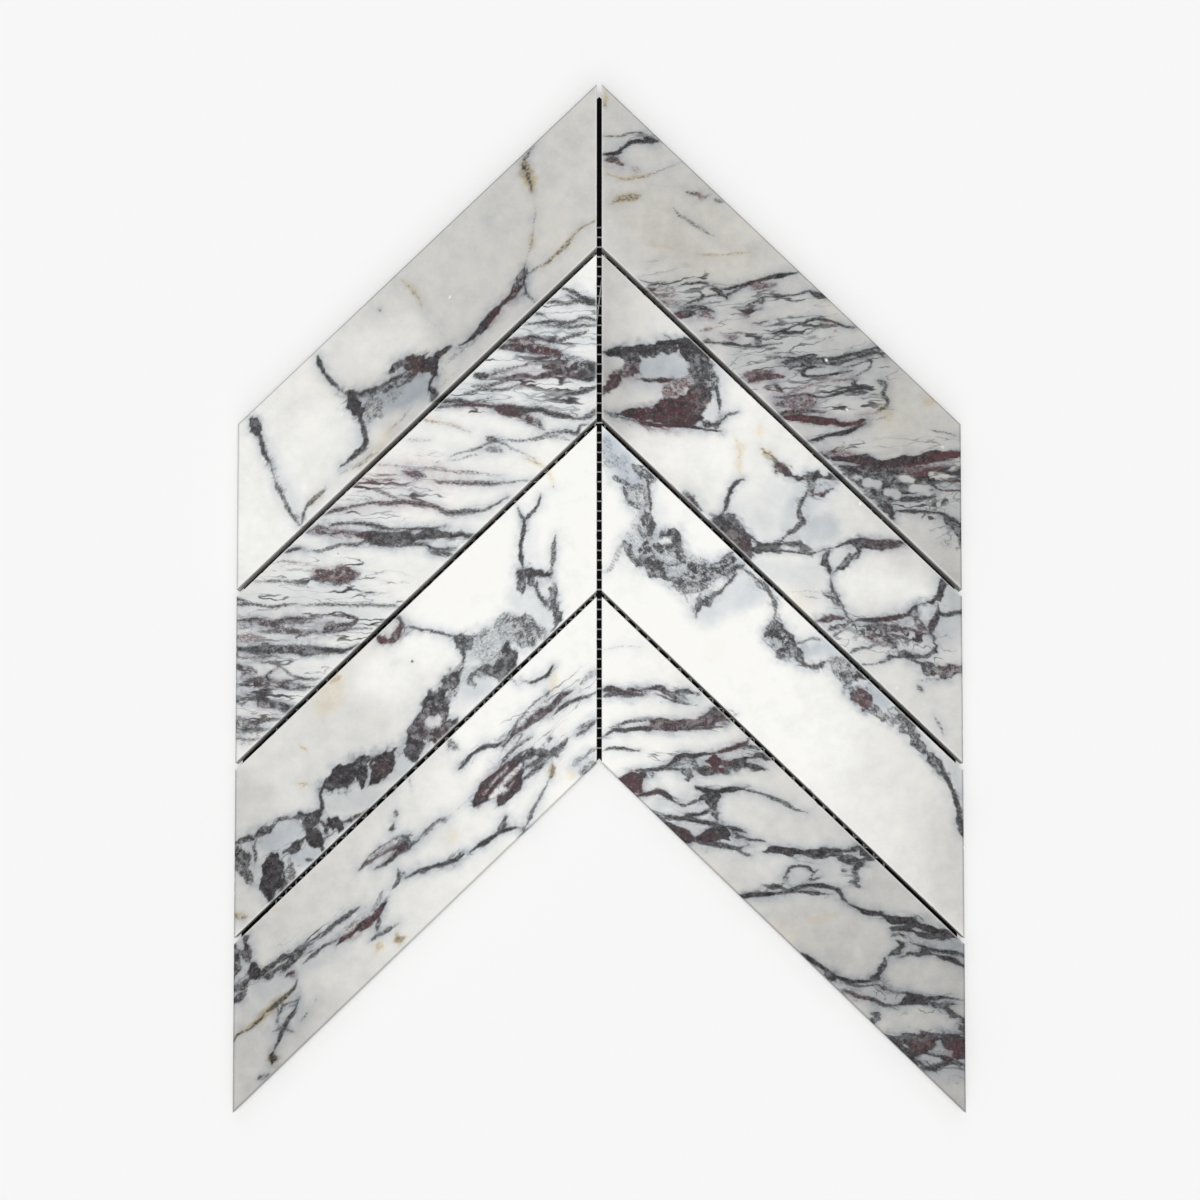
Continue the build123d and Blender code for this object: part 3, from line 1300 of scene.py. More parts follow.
@dataclass
class Studio:
    """Camera, floor, card and lights.

    Attributes:
        focal_length: of the lens, in mm, on the 36 mm sensor.
        eye: camera's place, in mm, in the sheet's frame.
        tilt: how far the camera leans towards +Y from straight down, in degrees.
        shift: how far the lens is shifted up, in parts of the frame.
        near_limit: nearest distance that the camera sees, in m.
        floor_size: of the floor, in m.
        card: thickness of the dark card of painted shade, in mm.
        card_inset: how far inside the sheet's outline the card ends, in mm.
        room: strength of the white room.
        suns: name, irradiance, width in degrees, and lean towards +Y in degrees, of each broad light.
    """

    focal_length: float = 81.0
    eye: tuple[float, float, float] = (0.3, -116.6, 1085.7)
    tilt: float = 3.24
    shift: float = 0.11
    near_limit: float = 0.05
    floor_size: float = 6.0
    card: float = 0.3
    card_inset: float = 1.6
    room: float = 0.4
    suns: tuple[tuple[str, float, float, float], ...] = (
        ("overhead light", 1.12, 34.0, -10.0),
        ("far light", 0.35, 50.0, 38.0),
        ("near light", 0.75, 50.0, -42.0),
    )

    def camera(self) -> None:
        """Sets up the camera as the photograph's stood."""
        data = bpy.data.cameras.new("overhead camera")
        data.lens = self.focal_length
        data.shift_y = self.shift
        data.clip_start = self.near_limit
        camera = place_in_scene("overhead camera", data)
        camera.location = [place * MM for place in self.eye]
        camera.rotation_euler = (math.radians(self.tilt), 0.0, 0.0)
        bpy.context.scene.camera = camera

    def floor(self) -> None:
        """Lays the pale floor under the card."""
        half, level = self.floor_size / 2, -self.card * MM
        corners = [(-half, -half, level), (half, -half, level), (half, half, level), (-half, half, level)]
        self._lay("pale_floor", corners, [(0, 1, 2, 3)], PaleFloor())

    def joint_shade_card(self) -> None:
        """Lays the dark card of painted shade under the sheet, a little inside its outline."""
        inset = self.card_inset * MM
        lowest, highest = corners_of("marble_left_4"), corners_of("marble_left_1")
        end_low = lowest[lowest[:, 0] < lowest[:, 0].min() + CORNER_SLACK][:, 1].min()
        end_high = highest[highest[:, 0] < highest[:, 0].min() + CORNER_SLACK][:, 1].max()
        notch = lowest[lowest[:, 0] > lowest[:, 0].max() - CORNER_SLACK][:, 1].min()
        far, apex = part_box("marble_left_1")
        width = -far.x - inset
        drop = inset * math.hypot(1.0, (apex.y - end_high) / width)
        right = [(width, end_low + drop), (width, end_high - drop)]
        left = [(-x, y) for x, y in reversed(right)]
        outline = [(0.0, apex.y - drop), *left, (0.0, notch + drop), *right]
        spots = [(x, y, level) for level in (0.0, -self.card * MM) for x, y in outline]
        tops = [(0, 1, 2, 3), (3, 4, 5, 0)]
        sides = [(k + 6, (k + 1) % 6 + 6, (k + 1) % 6, k) for k in range(6)]
        self._lay("joint_shade_card", spots, tops + sides, JointShadeCard())

    @staticmethod
    def _lay(name: str, spots: list, polygons: list, finish: Finish) -> None:
        """Makes a stage piece: a mesh with its finish, linked to the scene."""
        mesh = bpy.data.meshes.new(name)
        mesh.from_pydata(spots, [], polygons)
        mesh.materials.append(finish.make())
        place_in_scene(name, mesh)

    def lights(self) -> None:
        """Hangs the broad lights in a pale room."""
        world = bpy.data.worlds.new("pale room")
        world.use_nodes = True
        background = world.node_tree.nodes["Background"]
        background.inputs["Color"].default_value = (1.0, 1.0, 1.0, 1.0)
        background.inputs["Strength"].default_value = self.room
        bpy.context.scene.world = world
        for name, strength, spread, lean in self.suns:
            data = bpy.data.lights.new(name, "SUN")
            data.energy = strength
            data.angle = math.radians(spread)
            light = place_in_scene(name, data)
            light.rotation_euler = (math.radians(-lean), 0.0, 0.0)
            light.visible_glossy = False

    def develop(self) -> None:
        """Shows colours as they are, with no film curve."""
        bpy.context.scene.view_settings.view_transform = "Standard"


# In these marks LIGHT and SHADE whiten and grey the stone: partly its own tone, partly painted light and
# shade.
LEFT_1 = """
white outer end: LIGHT 26 .5 -106,62 -132,26
white middle: LIGHT 14 .35 -92,98 -78,104
grey smudge: VEIL 4 .25 -46,151 -40,147
blue veil: VEIL 3 .35 -27,164 -26,154 -27,145 -30,134
 VEIL 5 .4 -37,121 -46,110
 VEIL 10 1 -96,78 -84,79 -72,84
 VEIL 6 .6 -93,70 -97,60
 VEIL 5 .45 -134,60 -122,34
apex rust: VEIN 1.6 .7 -26.6,181.5 -30.6,175 -28.4,169 -26.6,163
 PATCH 3 .6 -31,174 -28.4,170
 STAIN 4.6 .9 -31,175 -28,168 -27,163
seam stain: STAIN 2.8 .6 -27,146 -27.4,139
seam: HAIR 1 .4 -26.8,160 -26,152 -26.6,145 -28,139 -30,132
dotted thread: VEIN 1.2 .6 -2,150.6 -8,147 -14,140 -20,135 -26,131 -29.4,128
 STAIN 2.4 .6 -2,150.6 -8,147 -14,140 -20,135 -26,131
hook: VEIN 2.4 .95 -30.2,132 -31.6,126 -36,119.6 -42,113 -50,104.4 -56,99.6
 PATCH 3.4 .85 -30.8,129.6 -33,124 -36.6,119.6
 WINE 4 .6 -33,123.6 -38,117.6
 VEIN 1.5 .75 -31,126.6 -29.6,121.6 -26.4,117.6
 HAIR 1.2 .4 -46,106 -54,99 -60,94 -64,89
ochre thread: HAIR 1.3 .35 -80.6,127.6 -77,124 -74,121 -72.4,117 -71,113.4
 STAIN 2.4 .55 -80,127 -74,121 -71.6,114.6
rust dot: HAIR 1.4 .6 -88.4,114.6 -87.4,113.6
long seep: HAIR 1 .25 -71,113 -64,106 -60,101
mass: VEIN 2.4 .9 -59.4,99.6 -63,97.6 -66.4,94
 PATCH 6.8 .99 -78,91.6 -73,92.4 -68,91.4 -65.6,88.6
 PATCH 2.8 .9 -84,89 -81,92 -77,93
 PATCH 2.4 .9 -66,89 -67.4,84 -66.6,78.6 -65,76.6
 PATCH 3.6 .8 -74,88 -80,86 -86,83.4 -90,82.4
 WINE 7 .5 -78,92 -68,90
ledge: PATCH 3.2 .85 -88,83 -94,80.6 -99,80.4 -103.6,81.6
 PATCH 5.6 .99 -100.6,79.6 -98,75.4 -95.6,71.4
 PATCH 6 .6 -92,79.6 -90.4,74.6 -92.6,70.6
 PATCH 4.5 .45 -84,80 -80,80.6
shaft: VEIN 2 .9 -113.6,95.6 -111,90 -107.6,85.6 -103.4,81
 VEIN 2.2 .85 -98,75 -95,68 -93.6,62.6 -95.4,58 -99.6,54 -104,50.6
rust beads: HAIR 1.7 .45 -87.6,57.6 -92,54.6 -97,51.4 -104,47.6
 HAIR 1.5 .4 -76,75 -80,70 -84,65
 STAIN 3.4 .45 -80,70 -92,55 -102,48.6
joint seep: HAIR 1.4 .3 -56,90.6 -62,85 -68,79
outer vein: PATCH 4.4 .95 -140.4,70.6 -138,67.2 -136.6,63.8
 VEIN 1.7 .85 -138,69 -136,64.6 -134.4,57 -131.4,51
 VEIN 1.4 .75 -131.6,51.4 -128.6,42.6 -125,35 -121,28.6 -118.6,25.6
 HAIR 1.6 .4 -134,60 -130.6,50 -126.4,40
outer spur: VEIN 1.6 .75 -110,42 -114,38 -117.4,33 -119,27.6
 STAIN 2.6 .6 -111,41 -117,34
glint: GLINT .7 1 -60,120
 GLINT .7 1 -103,72
crest wine: WINE 3.6 .8 -32,121 -38,115 -44,109
mass: PATCH 5 .35 -93,77 -86,80 -79,83.5
"""

LEFT_2 = """
fine streaks: STREAKS 26 .75 -4,106 -34,98
 STREAKS 14 .65 -36,86 -50,80
 STREAKS 26 .45 -142,-20 -116,0
 STREAKS 12 .6 -144,-50 -130,-40
blue veil: VEIL 16 .2 -4,108 -26,106 -34,92
 VEIL 8 .5 -58,82 -44,84 -30,94
 VEIL 18 .3 -144,-10 -110,-6 -96,-12
 VEIL 12 .3 -144,-48 -134,-34
pale hair: HAIR .8 .35 -10,128 -2,127
crown streak: VEIN 2.4 .9 -15,123.5 -10,121.5 -5,119 0,117.5
 VEIN 2 .85 -13,120.5 -9,118.5 -4,117 0,115.5
crown fork: VEIN 1.5 .8 -21,116.5 -17,117.5 -13,117 -8,117
joint dash: VEIN 1.5 .8 -27,113 -22,112.5
second streak: VEIN 1.9 .85 -31,108 -25,109 -20,110 -15,109.5 -10,110 -5,111 1,110
 VEIN 1.4 .8 -25,107.5 -18,108 -12,107.5 -6,108 1,108
knot: VEIN 2.3 .9 -37,102 -31,102 -27,104 -23,103 -20,101
 VEIN 1.9 .85 -27,104 -26,101 -24,99
 VEIN 3.1 .95 -40,99 -35,99 -31,98 -27,99 -22,98 -18,97 -15,95
 WINE 6 .7 -38,101 -28,100 -16,96
rising hair: VEIN 1.5 .75 -20,101 -15,102 -11,104 -7,105 -4,106
falling link: VEIN 2.7 .85 -18,99 -16,96 -14,93 -12,91
broad streak: PATCH 3.6 .95 -23,92 -17,92 -12,90 -7,91 2,91
 PATCH 3.1 .95 -14,89 -6,88 2,88
upper strand: VEIN 1.5 .7 -42,90 -35,91 -30,92 -25,94 -20,93
edge spot: VEIN 2.3 .85 -50,88 -44,88
 VEIN 1.2 .7 -45,87.5 -40,89 -35,90
dark strand: PATCH 3.2 .95 -37,87.5 -31,88 -27,87 -22,88 -17,89 -12,90
middle strand: VEIN 1.8 .75 -51,84 -44,84 -38,86 -33,87
low strand: VEIN 1.6 .75 -54,81 -48,82 -43,81.5 -38,82 -32,84.5
long vein: VEIN 1.9 .85 -66,77 -58,77.5 -52,77 -46,78 -43,79
 VEIN 2.3 .9 -65,75 -57,76 -50,76 -43,75 -36,74.5 -30,74 -24,74 -18,72 -8,70 -3,71
 VEIN 3 .9 -43,74.5 -36,72 -30,71 -27,69 -23,67.5
right riser: VEIN 1.8 .85 -15,79.7 -9,80.5 -4,82 1,84.5
 HAIR .7 .55 -27,76.5 -19,78 -14,80
spine fork: VEIN 1.4 .75 -7,70 -3,73 1,76
 VEIN 1.2 .7 -7,71.5 1,72.5
tea thread: WINE 1.4 .6 -72,70 -64,69 -58,67 -52,65
 HAIR 1.4 .5 -72,70 -64,69 -58,67 -52,65
tea stain: STAIN 1.6 .5 -72,70.5 -64,69.5 -56,67
worn thread: HAIR 1 .45 -78,62 -68,62
worn spot: VEIN 1.9 .75 -46,63 -43,62.3 -41,61
 VEIN 2.3 .6 -46,58 -42,58 -38,56
worn streak: HAIR 1.1 .6 -34,62 -25,62 -18,63 -12,61 -8,60
worn fork: VEIN 1.8 .8 -18,64 -13,65 -9,64 -8,67 -4,68
broken thread: HAIR .9 .55 -61,53.5 -55,54.5 -48,56
honey thread: STAIN 1.2 .8 -31,54.5 -26,53 -21,50.5
honey hair: HAIR .6 .4 -31,54 -26,52.7 -21,50
slate streak: HAIR 1.3 .6 -93,52 -82,51 -75,50 -68,50.5 -62,49.5 -56,49 -48,48 -38,46
slate wine: WINE 1.6 .6 -93,52 -76,50 -60,50
slate patch: VEIN 2.6 .8 -79,48.5 -75,48 -70,47
slate tail: VEIN 2.2 .6 -76,49 -74,47 -74.5,44.5
level streak: VEIN 1.6 .75 -66,45 -58,44.5 -52,44.5 -45,44 -38,44 -30,45 -25,45
level wine: WINE 1.4 .5 -64,45 -52,44.5
edge dash: VEIN 1.6 .75 -96,46 -90,45 -85,45 -80,45.5
 VEIN 1.8 .7 -94,42 -89,41 -85,40 -81,38
 WINE 1.6 .7 -96,46 -88,43
sagging vein: VEIN 1.9 .8 -104,33.5 -98,35 -92,36 -80,36.5 -70,36 -66,35 -62,33 -57,32.5 -50,33 -45,34
  -36,38.5
 HAIR .8 .5 -65,32 -58,31 -50,31.5
 VEIN 1.6 .8 -112,31.5 -106,33 -101,33.5
 HAIR 1 .6 -104,37 -97,38 -90,37
rope: VEIN 1.6 .85 -117,25 -110,26.5 -105,27.5 -98,28 -92,27 -86,26 -78,25.5 -68,26 -61,27
 PATCH 3.2 .85 -114,26 -108,26
 WINE 5 .8 -114,25 -104,24 -94,23
 PATCH 3.2 .95 -109,24 -102,24
 PATCH 4.5 .95 -97,23 -90,22.5 -84,22 -78,22 -70,22
 PATCH 3.4 .95 -74,23 -68,24 -60,23 -55,23 -49,23
 VEIN 1.9 .85 -92,20 -84,19.5 -78,19 -70,19.5 -66,18 -57,18
 VEIN 1.8 .8 -69,17 -62,16 -58,15
 HAIR 1.1 .6 -119,25 -112,24
edge hook: VEIN 1.5 .85 -126,16.5 -121,18 -118,17.5
 VEIN 1.5 .75 -118,17 -112,17 -108,18 -104,19 -98,19.5 -92,21
pit: PIT 1 1 -104.5,15.8
low thread: HAIR .9 .6 -131,12 -126,13 -122,12.5 -117,11.5 -112,11
 WINE 1.2 .5 -126,13 -112,11 -100,8
wine lens: PATCH 3.4 .85 -113,8.5 -108,7.5 -103,8.5 -97,7.5
 WINE 5 1 -114,8.5 -106,8 -97,7
 PATCH 2.7 .9 -115,5.8 -108,4.5 -103,4.5 -98,5.8
 HAIR 1 .45 -101,2 -92,-.5 -84,0
slate thread: HAIR 1.2 .7 -139,5 -132,5 -126,4.5 -120,3.5 -114,2
slate corner: VEIN 1.2 .8 -146,-2.5 -140,-4
level thread: VEIN 1.1 .85 -146,-5 -139,-5 -133,-5.5 -128,-5 -121,-4.5
 VEIN 1.4 .75 -119,-5 -112,-5 -104,-4.5 -96,-5 -88,-5.5 -80,-5.5
plait: VEIN 2 .85 -146,-11 -138,-11 -132,-11.5 -126,-10.5 -120,-10.5 -113,-10.5
 PATCH 3 .55 -146,-14 -138,-13
 PATCH 3 .75 -133,-12.5 -127,-14
 VEIN 1.2 .85 -133,-15 -124,-15.5 -117,-16 -110,-16 -104,-15 -97,-14 -91,-14.5
ring: VEIN 1.5 .85 -114,-11 -112,-9.5 -107,-9 -101,-9 -97,-10 -98,-12 -103,-13 -108,-14 -113,-13.5
 PATCH 3.1 .85 -110,-14 -104,-13.2
outer wine patch: PATCH 3.6 .6 -146,-18 -136,-18.5
outer wine tint: WINE 4.4 .9 -146,-17 -137,-18
fourth streak: VEIN 1.8 .9 -146,-22 -138,-22 -130,-22 -122,-22.5 -115,-23 -108,-23 -102,-23 -96,-20.5
 VEIN 1 .75 -141,-24.5 -130,-24.5 -120,-23.5 -112,-24.3 -103,-24
fifth thread: VEIN 1.2 .75 -146,-26 -138,-26 -130,-25.5
lattice: VEIN 1.2 .85 -139,-27.5 -131,-28.5 -127,-30 -122,-33 -117,-34.5 -111,-34
 PATCH 2.6 .85 -146,-29 -143,-31 -144,-34
 PATCH 2.2 .9 -146,-36.7 -139,-36.5 -134,-35.5 -129,-35
 VEIN 1 .8 -134,-35 -132,-32 -127,-30
 VEIN 1.4 .9 -131,-35.5 -126,-37 -120,-37.5 -113,-37.5
outer knot: PATCH 2.8 .8 -146,-42 -138,-42.5
falling streak: VEIN 2 .9 -141,-40.5 -135,-42 -130,-44 -125,-45.5 -120,-46
 VEIN 1.3 .8 -133,-44.5 -127,-47 -123,-49.5
foot streak: VEIN 1.4 .85 -146,-52 -139,-52 -133,-51.5 -127,-50.5
 VEIN 1.5 .8 -146,-55 -138,-55 -131,-54.5
 VEIN 1.2 .75 -146,-58 -139,-58.5 -134,-57.5
foot thread: HAIR .9 .6 -144,-60.5 -138,-60.5
dense streaks: STREAKS 22 .95 -46,108 -26,110 -6,94
 STREAKS 9 .8 -40,82 -12,76
 STREAKS 16 .75 -92,36 -68,46
 STREAKS 30 .55 -134,-32 -112,-14 -96,-2
blue veil: VEIL 22 .2 -44,106 -22,104
 VEIL 30 .2 -132,-26 -110,-12
wine haze: WINE 8 .5 -40,88 -24,88 -10,90
 WINE 5 .55 -60,75 -40,74 -24,69
 WINE 12 .7 -98,44 -76,48 -52,46
 WINE 5 .6 -108,33 -80,36 -60,34
 WINE 11 .35 -142,-12 -122,-12 -100,-12
 WINE 10 .3 -144,-32 -124,-34
 WINE 8 .35 -142,-50 -130,-48
rope: PATCH 3.6 .8 -112,24.5 -104,24.5 -96,23.5
knot: PATCH 4.4 .7 -38,100 -30,99.5 -22,99
tangle: PATCH 5.5 .6 -20,96 -13,93 -5,91
seam knot: PATCH 3.6 .7 -32,71 -26,69 -22,66
band: PATCH 3.2 .85 -141,-11.5 -130,-12 -118,-11.5
 PATCH 2.6 .8 -136,-15.5 -120,-16 -106,-15
 PATCH 3 .88 -144,-22.5 -130,-23 -110,-23.5
 PATCH 3.4 .7 -146,-31 -137,-31.5
 PATCH 3.6 .8 -144,-36.3 -132,-36.3 -118,-37.3
 PATCH 3.2 .85 -140,-42 -130,-45 -121,-47
 PATCH 4.4 .75 -146,-54 -136,-54
spot threads: VEIN 1.1 .7 -60,55.4 -50,58 -42.4,61 -33,57.4 -26,54.6
 VEIN 1.1 .75 -42.4,61.6 -29.5,61.8 -18.4,64.6 -11,65.8
"""

RIGHT_1 = """
cream field: STAIN 30 .22 10,155 35,145 60,132
 STAIN 24 .2 110,70 128,70
grey field: SHADE 40 .25 10,180 60,130 100,100
fine streaks: STREAKS 9 .6 74,92 90,93 112,97
 STREAKS 12 .35 24,121 44,118 60,105
 STREAKS 12 .4 60,88 80,78
 STREAKS 16 .75 104,48 122,44 144,46
blue veil: VEIL 8 .55 74,90 92,92 108,92
 VEIL 12 .45 106,44 122,40 142,36
 VEIL 6 .35 36,121 48,120 64,106
crown stain: STAIN 3 .7 2,203 2,197
crown spot: HAIR 1.8 .4 2,199 3,196.5
crown thread: HAIR 1.1 .75 0,185 8,185 12,186.5 18,186 23,184.5
crown vein: VEIN 1.5 .95 0,178 6,178.5 9,180 12,182 16,183 22,182.5
 VEIN 1.9 .9 18,184.5 24,183.5
spine blot: PATCH 1.9 .85 2,175 6,175.5 9,173.5
 WINE 3.4 .7 1,174 9,174
pink blot: WINE 1.8 .5 13,172 17,170.5
 HAIR 1.4 .4 13,172 17,170.5
ochre thread: HAIR .9 .5 3,170 8,168 14,167.5 20,169 26,171.5 34,175
 STAIN 2.2 .75 3,170 8,168 14,167.5 20,169
olive blot: HAIR 1.9 .5 5,158 8,159.5 13,160 17,161
 STAIN 3 .8 5,158 8,159.5 13,160 17,161
edge blot: VEIN 1.6 .6 35,162.3 39,162 41,160.5 45,162
 WINE 2.4 .8 36,162 44,161.5
 VEIN 1.5 .6 46,160 50,158.5
slanting hair: HAIR 1.4 .5 30,156 32,153 36,151 40,147.5 46,144.5
faint hair: HAIR .8 .3 22,165.5 31,164.5
honey hair: STAIN 1.4 .6 18,141 26,140 33,139
 HAIR .8 .35 40,137 48,137 56,138 61,138
 STAIN 2 .6 40,137 48,137 56,138 61,138
first vein: VEIN 1.2 .85 31,123.5 36,125 41,125.5 46,124
 PATCH 2.4 .95 44,123.3 48,122 51,119.5
 VEIN 1.4 .95 48,123 54,123.5 60,125 66,127 72,128 76,129 82,130.5
 PATCH 2.4 .7 61,124.5 66,124.8 71,124.5
 WINE 3.2 .9 61,124.5 71,124.5
worn patch: PATCH 3 .55 19,124 24,124 29,122.5 29,120
 PATCH 2.6 .6 24,118 29,117 34,116.5
 WINE 5 .7 22,122 31,117
second vein: VEIN 1.3 .8 33,116 38,117.5 46,120 52,121 57,123 61,125
third vein: VEIN 1.5 .8 33,114.7 38,115.5 43,115 47,114
black blot: PATCH 3.6 .95 29,112 34,112 38,113
 WINE 3.4 .7 29,112 33,111.5
wine blot: PATCH 2.2 .7 38,112 43,113 47,112
 WINE 3 .9 38,112 47,112
wine dash: VEIN 1.5 .6 41,106.5 46,106.5
 WINE 2.4 .9 41,106.5 46,106.5
hooked vein: VEIN 1.2 .85 58,115.5 63,118 66,119.5 75,120 80,120.5 84,122 88,121.5 92,119.5
 PATCH 2.3 .8 64,119.5 66,117.5
 VEIN 2.1 .85 85,121.7 91,120
 HAIR .9 .45 57,111.5 60,114.5
slack thread: VEIN .9 .7 49,105 58,105 66,103 75,104 82,104.5 86,106 91,107.5 97,108.5
 WINE 2.2 .8 50,104 58,104
 VEIN 1.8 .6 51,103.7 56,103.5
low thread: VEIN 1.1 .85 40,101.3 46,100.5 52,101 58,100 65,100 74,100.7
 PATCH 2.2 .85 41,102 44,101
 PATCH 2.2 .75 63,102 65,101
short dash: HAIR .9 .6 55,98 58,98
rose spot: WINE 2 .7 48,93.5 52,91.5
 HAIR 1.4 .4 48,93.5 52,91.5
fir branch: VEIN 1.4 .85 78,108.3 82,109 84,110.3 87,111 91,110 96,109 99,107.5 103,107
 VEIN 1.1 .75 86,110 90,108 96,108.3
 WINE 1.8 .7 88,109 97,108.5
faint riser: HAIR .9 .35 83,113 87,115.5
band: VEIN 1.5 .85 73,95 80,94.3 88,94.2 95,95 102,96.5 108,98 113,99.7
 PATCH 2.2 .85 74,92.3 80,92.3 86,93 92,92.7 98,93.5 104,95
 VEIN 1.6 .85 102,94.5 108,96.2 112,97 117,96
 VEIN 1.5 .85 112,99.5 113,96.5 115,94.5
 PATCH 2.8 .8 74,92.5 81,93
 VEIN 1.4 .9 90,91 84,91 81.5,88 90,88 97,89 102,90
 VEIN 1.2 .8 98,91 104,92 109,94 109,91 106,89 102,87
 HAIR 1 .6 70,96.5 76,97 81,96
inner dash: VEIN 1 .7 66,95.3 72,95
wine streaks: PATCH 1.8 .75 56,87 62,89 70,89.5
 PATCH 2.6 .9 60,86.5 66,87 74,86.5
 WINE 5 .8 57,87.5 74,87.5
rose thread: VEIN 1.3 .7 92,86 97,86 103,86.5
 WINE 2.4 .9 92,86 103,86
thorn: PATCH 2 .9 104,86 102.5,84.5 105,82 106,80
brick thread: VEIN 1.6 .6 73,79 79,81.5 85,84 92,86
 WINE 2.4 1 73,79 79,81.5 85,84 92,86
purse: VEIN 1.5 .9 70,79.3 76,79 82,79.5 88,79 95,80.5 102,81 106,80
 PATCH 4.2 .72 70,76.5 78,77 87,77.5
 WINE 5.5 .9 70,76.5 78,77 88,77.5
 VEIN 1.7 .85 70,84 74,81
 VEIN 1.7 .85 70,76 75,77
 VEIN 1.3 .8 88,79 86,76 83,75
beads: VEIN 1.5 .75 112,86.5 114,85 115,83 114,80 116,77 115,75 111,73.5
 PATCH 2 .7 112,86 115,83
 HAIR .9 .5 104,72 109,72.5 113,73.5 119,74
 WINE 2 .7 103,72 112,73
burgundy blade: PATCH 2 .85 71,71 78,73.3 84,74 91,73
 PATCH 3 1 73,71 80,71 86,70 92,69.5 100,69 107,69
 WINE 4 1 76,71 92,69.7 107,69
 HAIR 1 .5 106,69 112,70 117,71
rising blade: VEIN 1.7 .95 82,61 88,62.5 94,64 100,65.5 107,68.5
 VEIN 1.2 .7 84,60.5 91,62
yellow hair: HAIR 1.1 .55 132,66 138,65 143,63.5 147,63
yellow spot: STAIN 5 .6 113,76 117,68
 STAIN 5 .6 133,77
wine shoulder: PATCH 2.2 .6 89,56.5 94,57 99,56 104,55.5
 WINE 3.6 1 90,57 104,55.5
shoulder tick: VEIN 1.6 .85 88,56.5 93,54
main band: PATCH 4.2 1 94,54 101,54 107,53 113,52 120,52.5 127,53.5 134,55 140,55.5 147,56.5
 WINE 4 .8 128,54 147,56
 PATCH 3.4 .95 96,51 103,50 109,50.5 115,50 120,48.5
 PATCH 2.5 .9 101,48 108,46.5 113,46.5 119,46
 PATCH 2.2 .9 106,43 112,43 117,44 121,44
 PATCH 3 .95 111,41 116,39.5 114,36.5 117,33 118,30
 PATCH 2.6 .85 108,39 112,37.5
branch: VEIN 1.9 .85 117,37.7 124,37.5 130,38.5 135,39.3
 VEIN 1.5 .8 118,41 124,40.5 129,41.5 136,42
rust blade: PATCH 2.2 .75 121,50 128,50 133,50.5
 PATCH 2 .8 129,48.5 136,50 141,51.7
 WINE 4 1 122,50 133,50 141,51.5
crossing vein: VEIN 1.4 .9 121,45 127,46 133,44 137,42 142,41 147,40.7
 VEIN 1.3 .85 129,47 134,44.3 136,42.7
outer blade: PATCH 2.5 .9 136,46.3 141,45.3 147,44.5
 WINE 2.6 .8 138,46 147,44.5
arc: VEIN 1.5 .9 118,33 124,33 130,32.5 135,32 138,31 140,29.5 143,29 147,25
 PATCH 2.2 .85 138,30 139.5,28 142,27 144.5,24 147,20
 VEIL 4 .6 136,33 144,26
glint: GLINT .9 1 91,94
 GLINT .9 1 99.5,74.5
 GLINT .7 1 138,58.5
 GLINT .8 1 102,35.5
dense streaks: STREAKS 16 .75 24,124 60,114 86,108
 STREAKS 20 .65 62,94 84,84 106,86
 STREAKS 20 .8 100,48 124,48 142,50
blue veil: VEIL 20 .35 60,100 90,90
wine haze: WINE 7 .5 56,112 66,110
 WINE 9 .6 64,84 74,76 90,72
 WINE 8 .3 98,52 116,54 140,56
cells: CELLS 15 .85 106,45 124,43 142,47
 CELLS 12 .7 136,34 142,26
network: PATCH 9 .85 100,48.5 110,46 120,45 132,46.5
 PATCH 6 .85 110,41 117,37
white cell: PEBBLE 3.4 .9 108,44.5 111.5,43.5
 PEBBLE 2.4 .9 115.5,41 119,40
 PEBBLE 2.8 .9 121.5,46.5 125.5,45.5
 PEBBLE 2.8 .9 126,42.7 131,42.3
 PEBBLE 2.6 .6 134,47.6 139,47
 PEBBLE 2 .8 103,46.8 105,46.5
"""

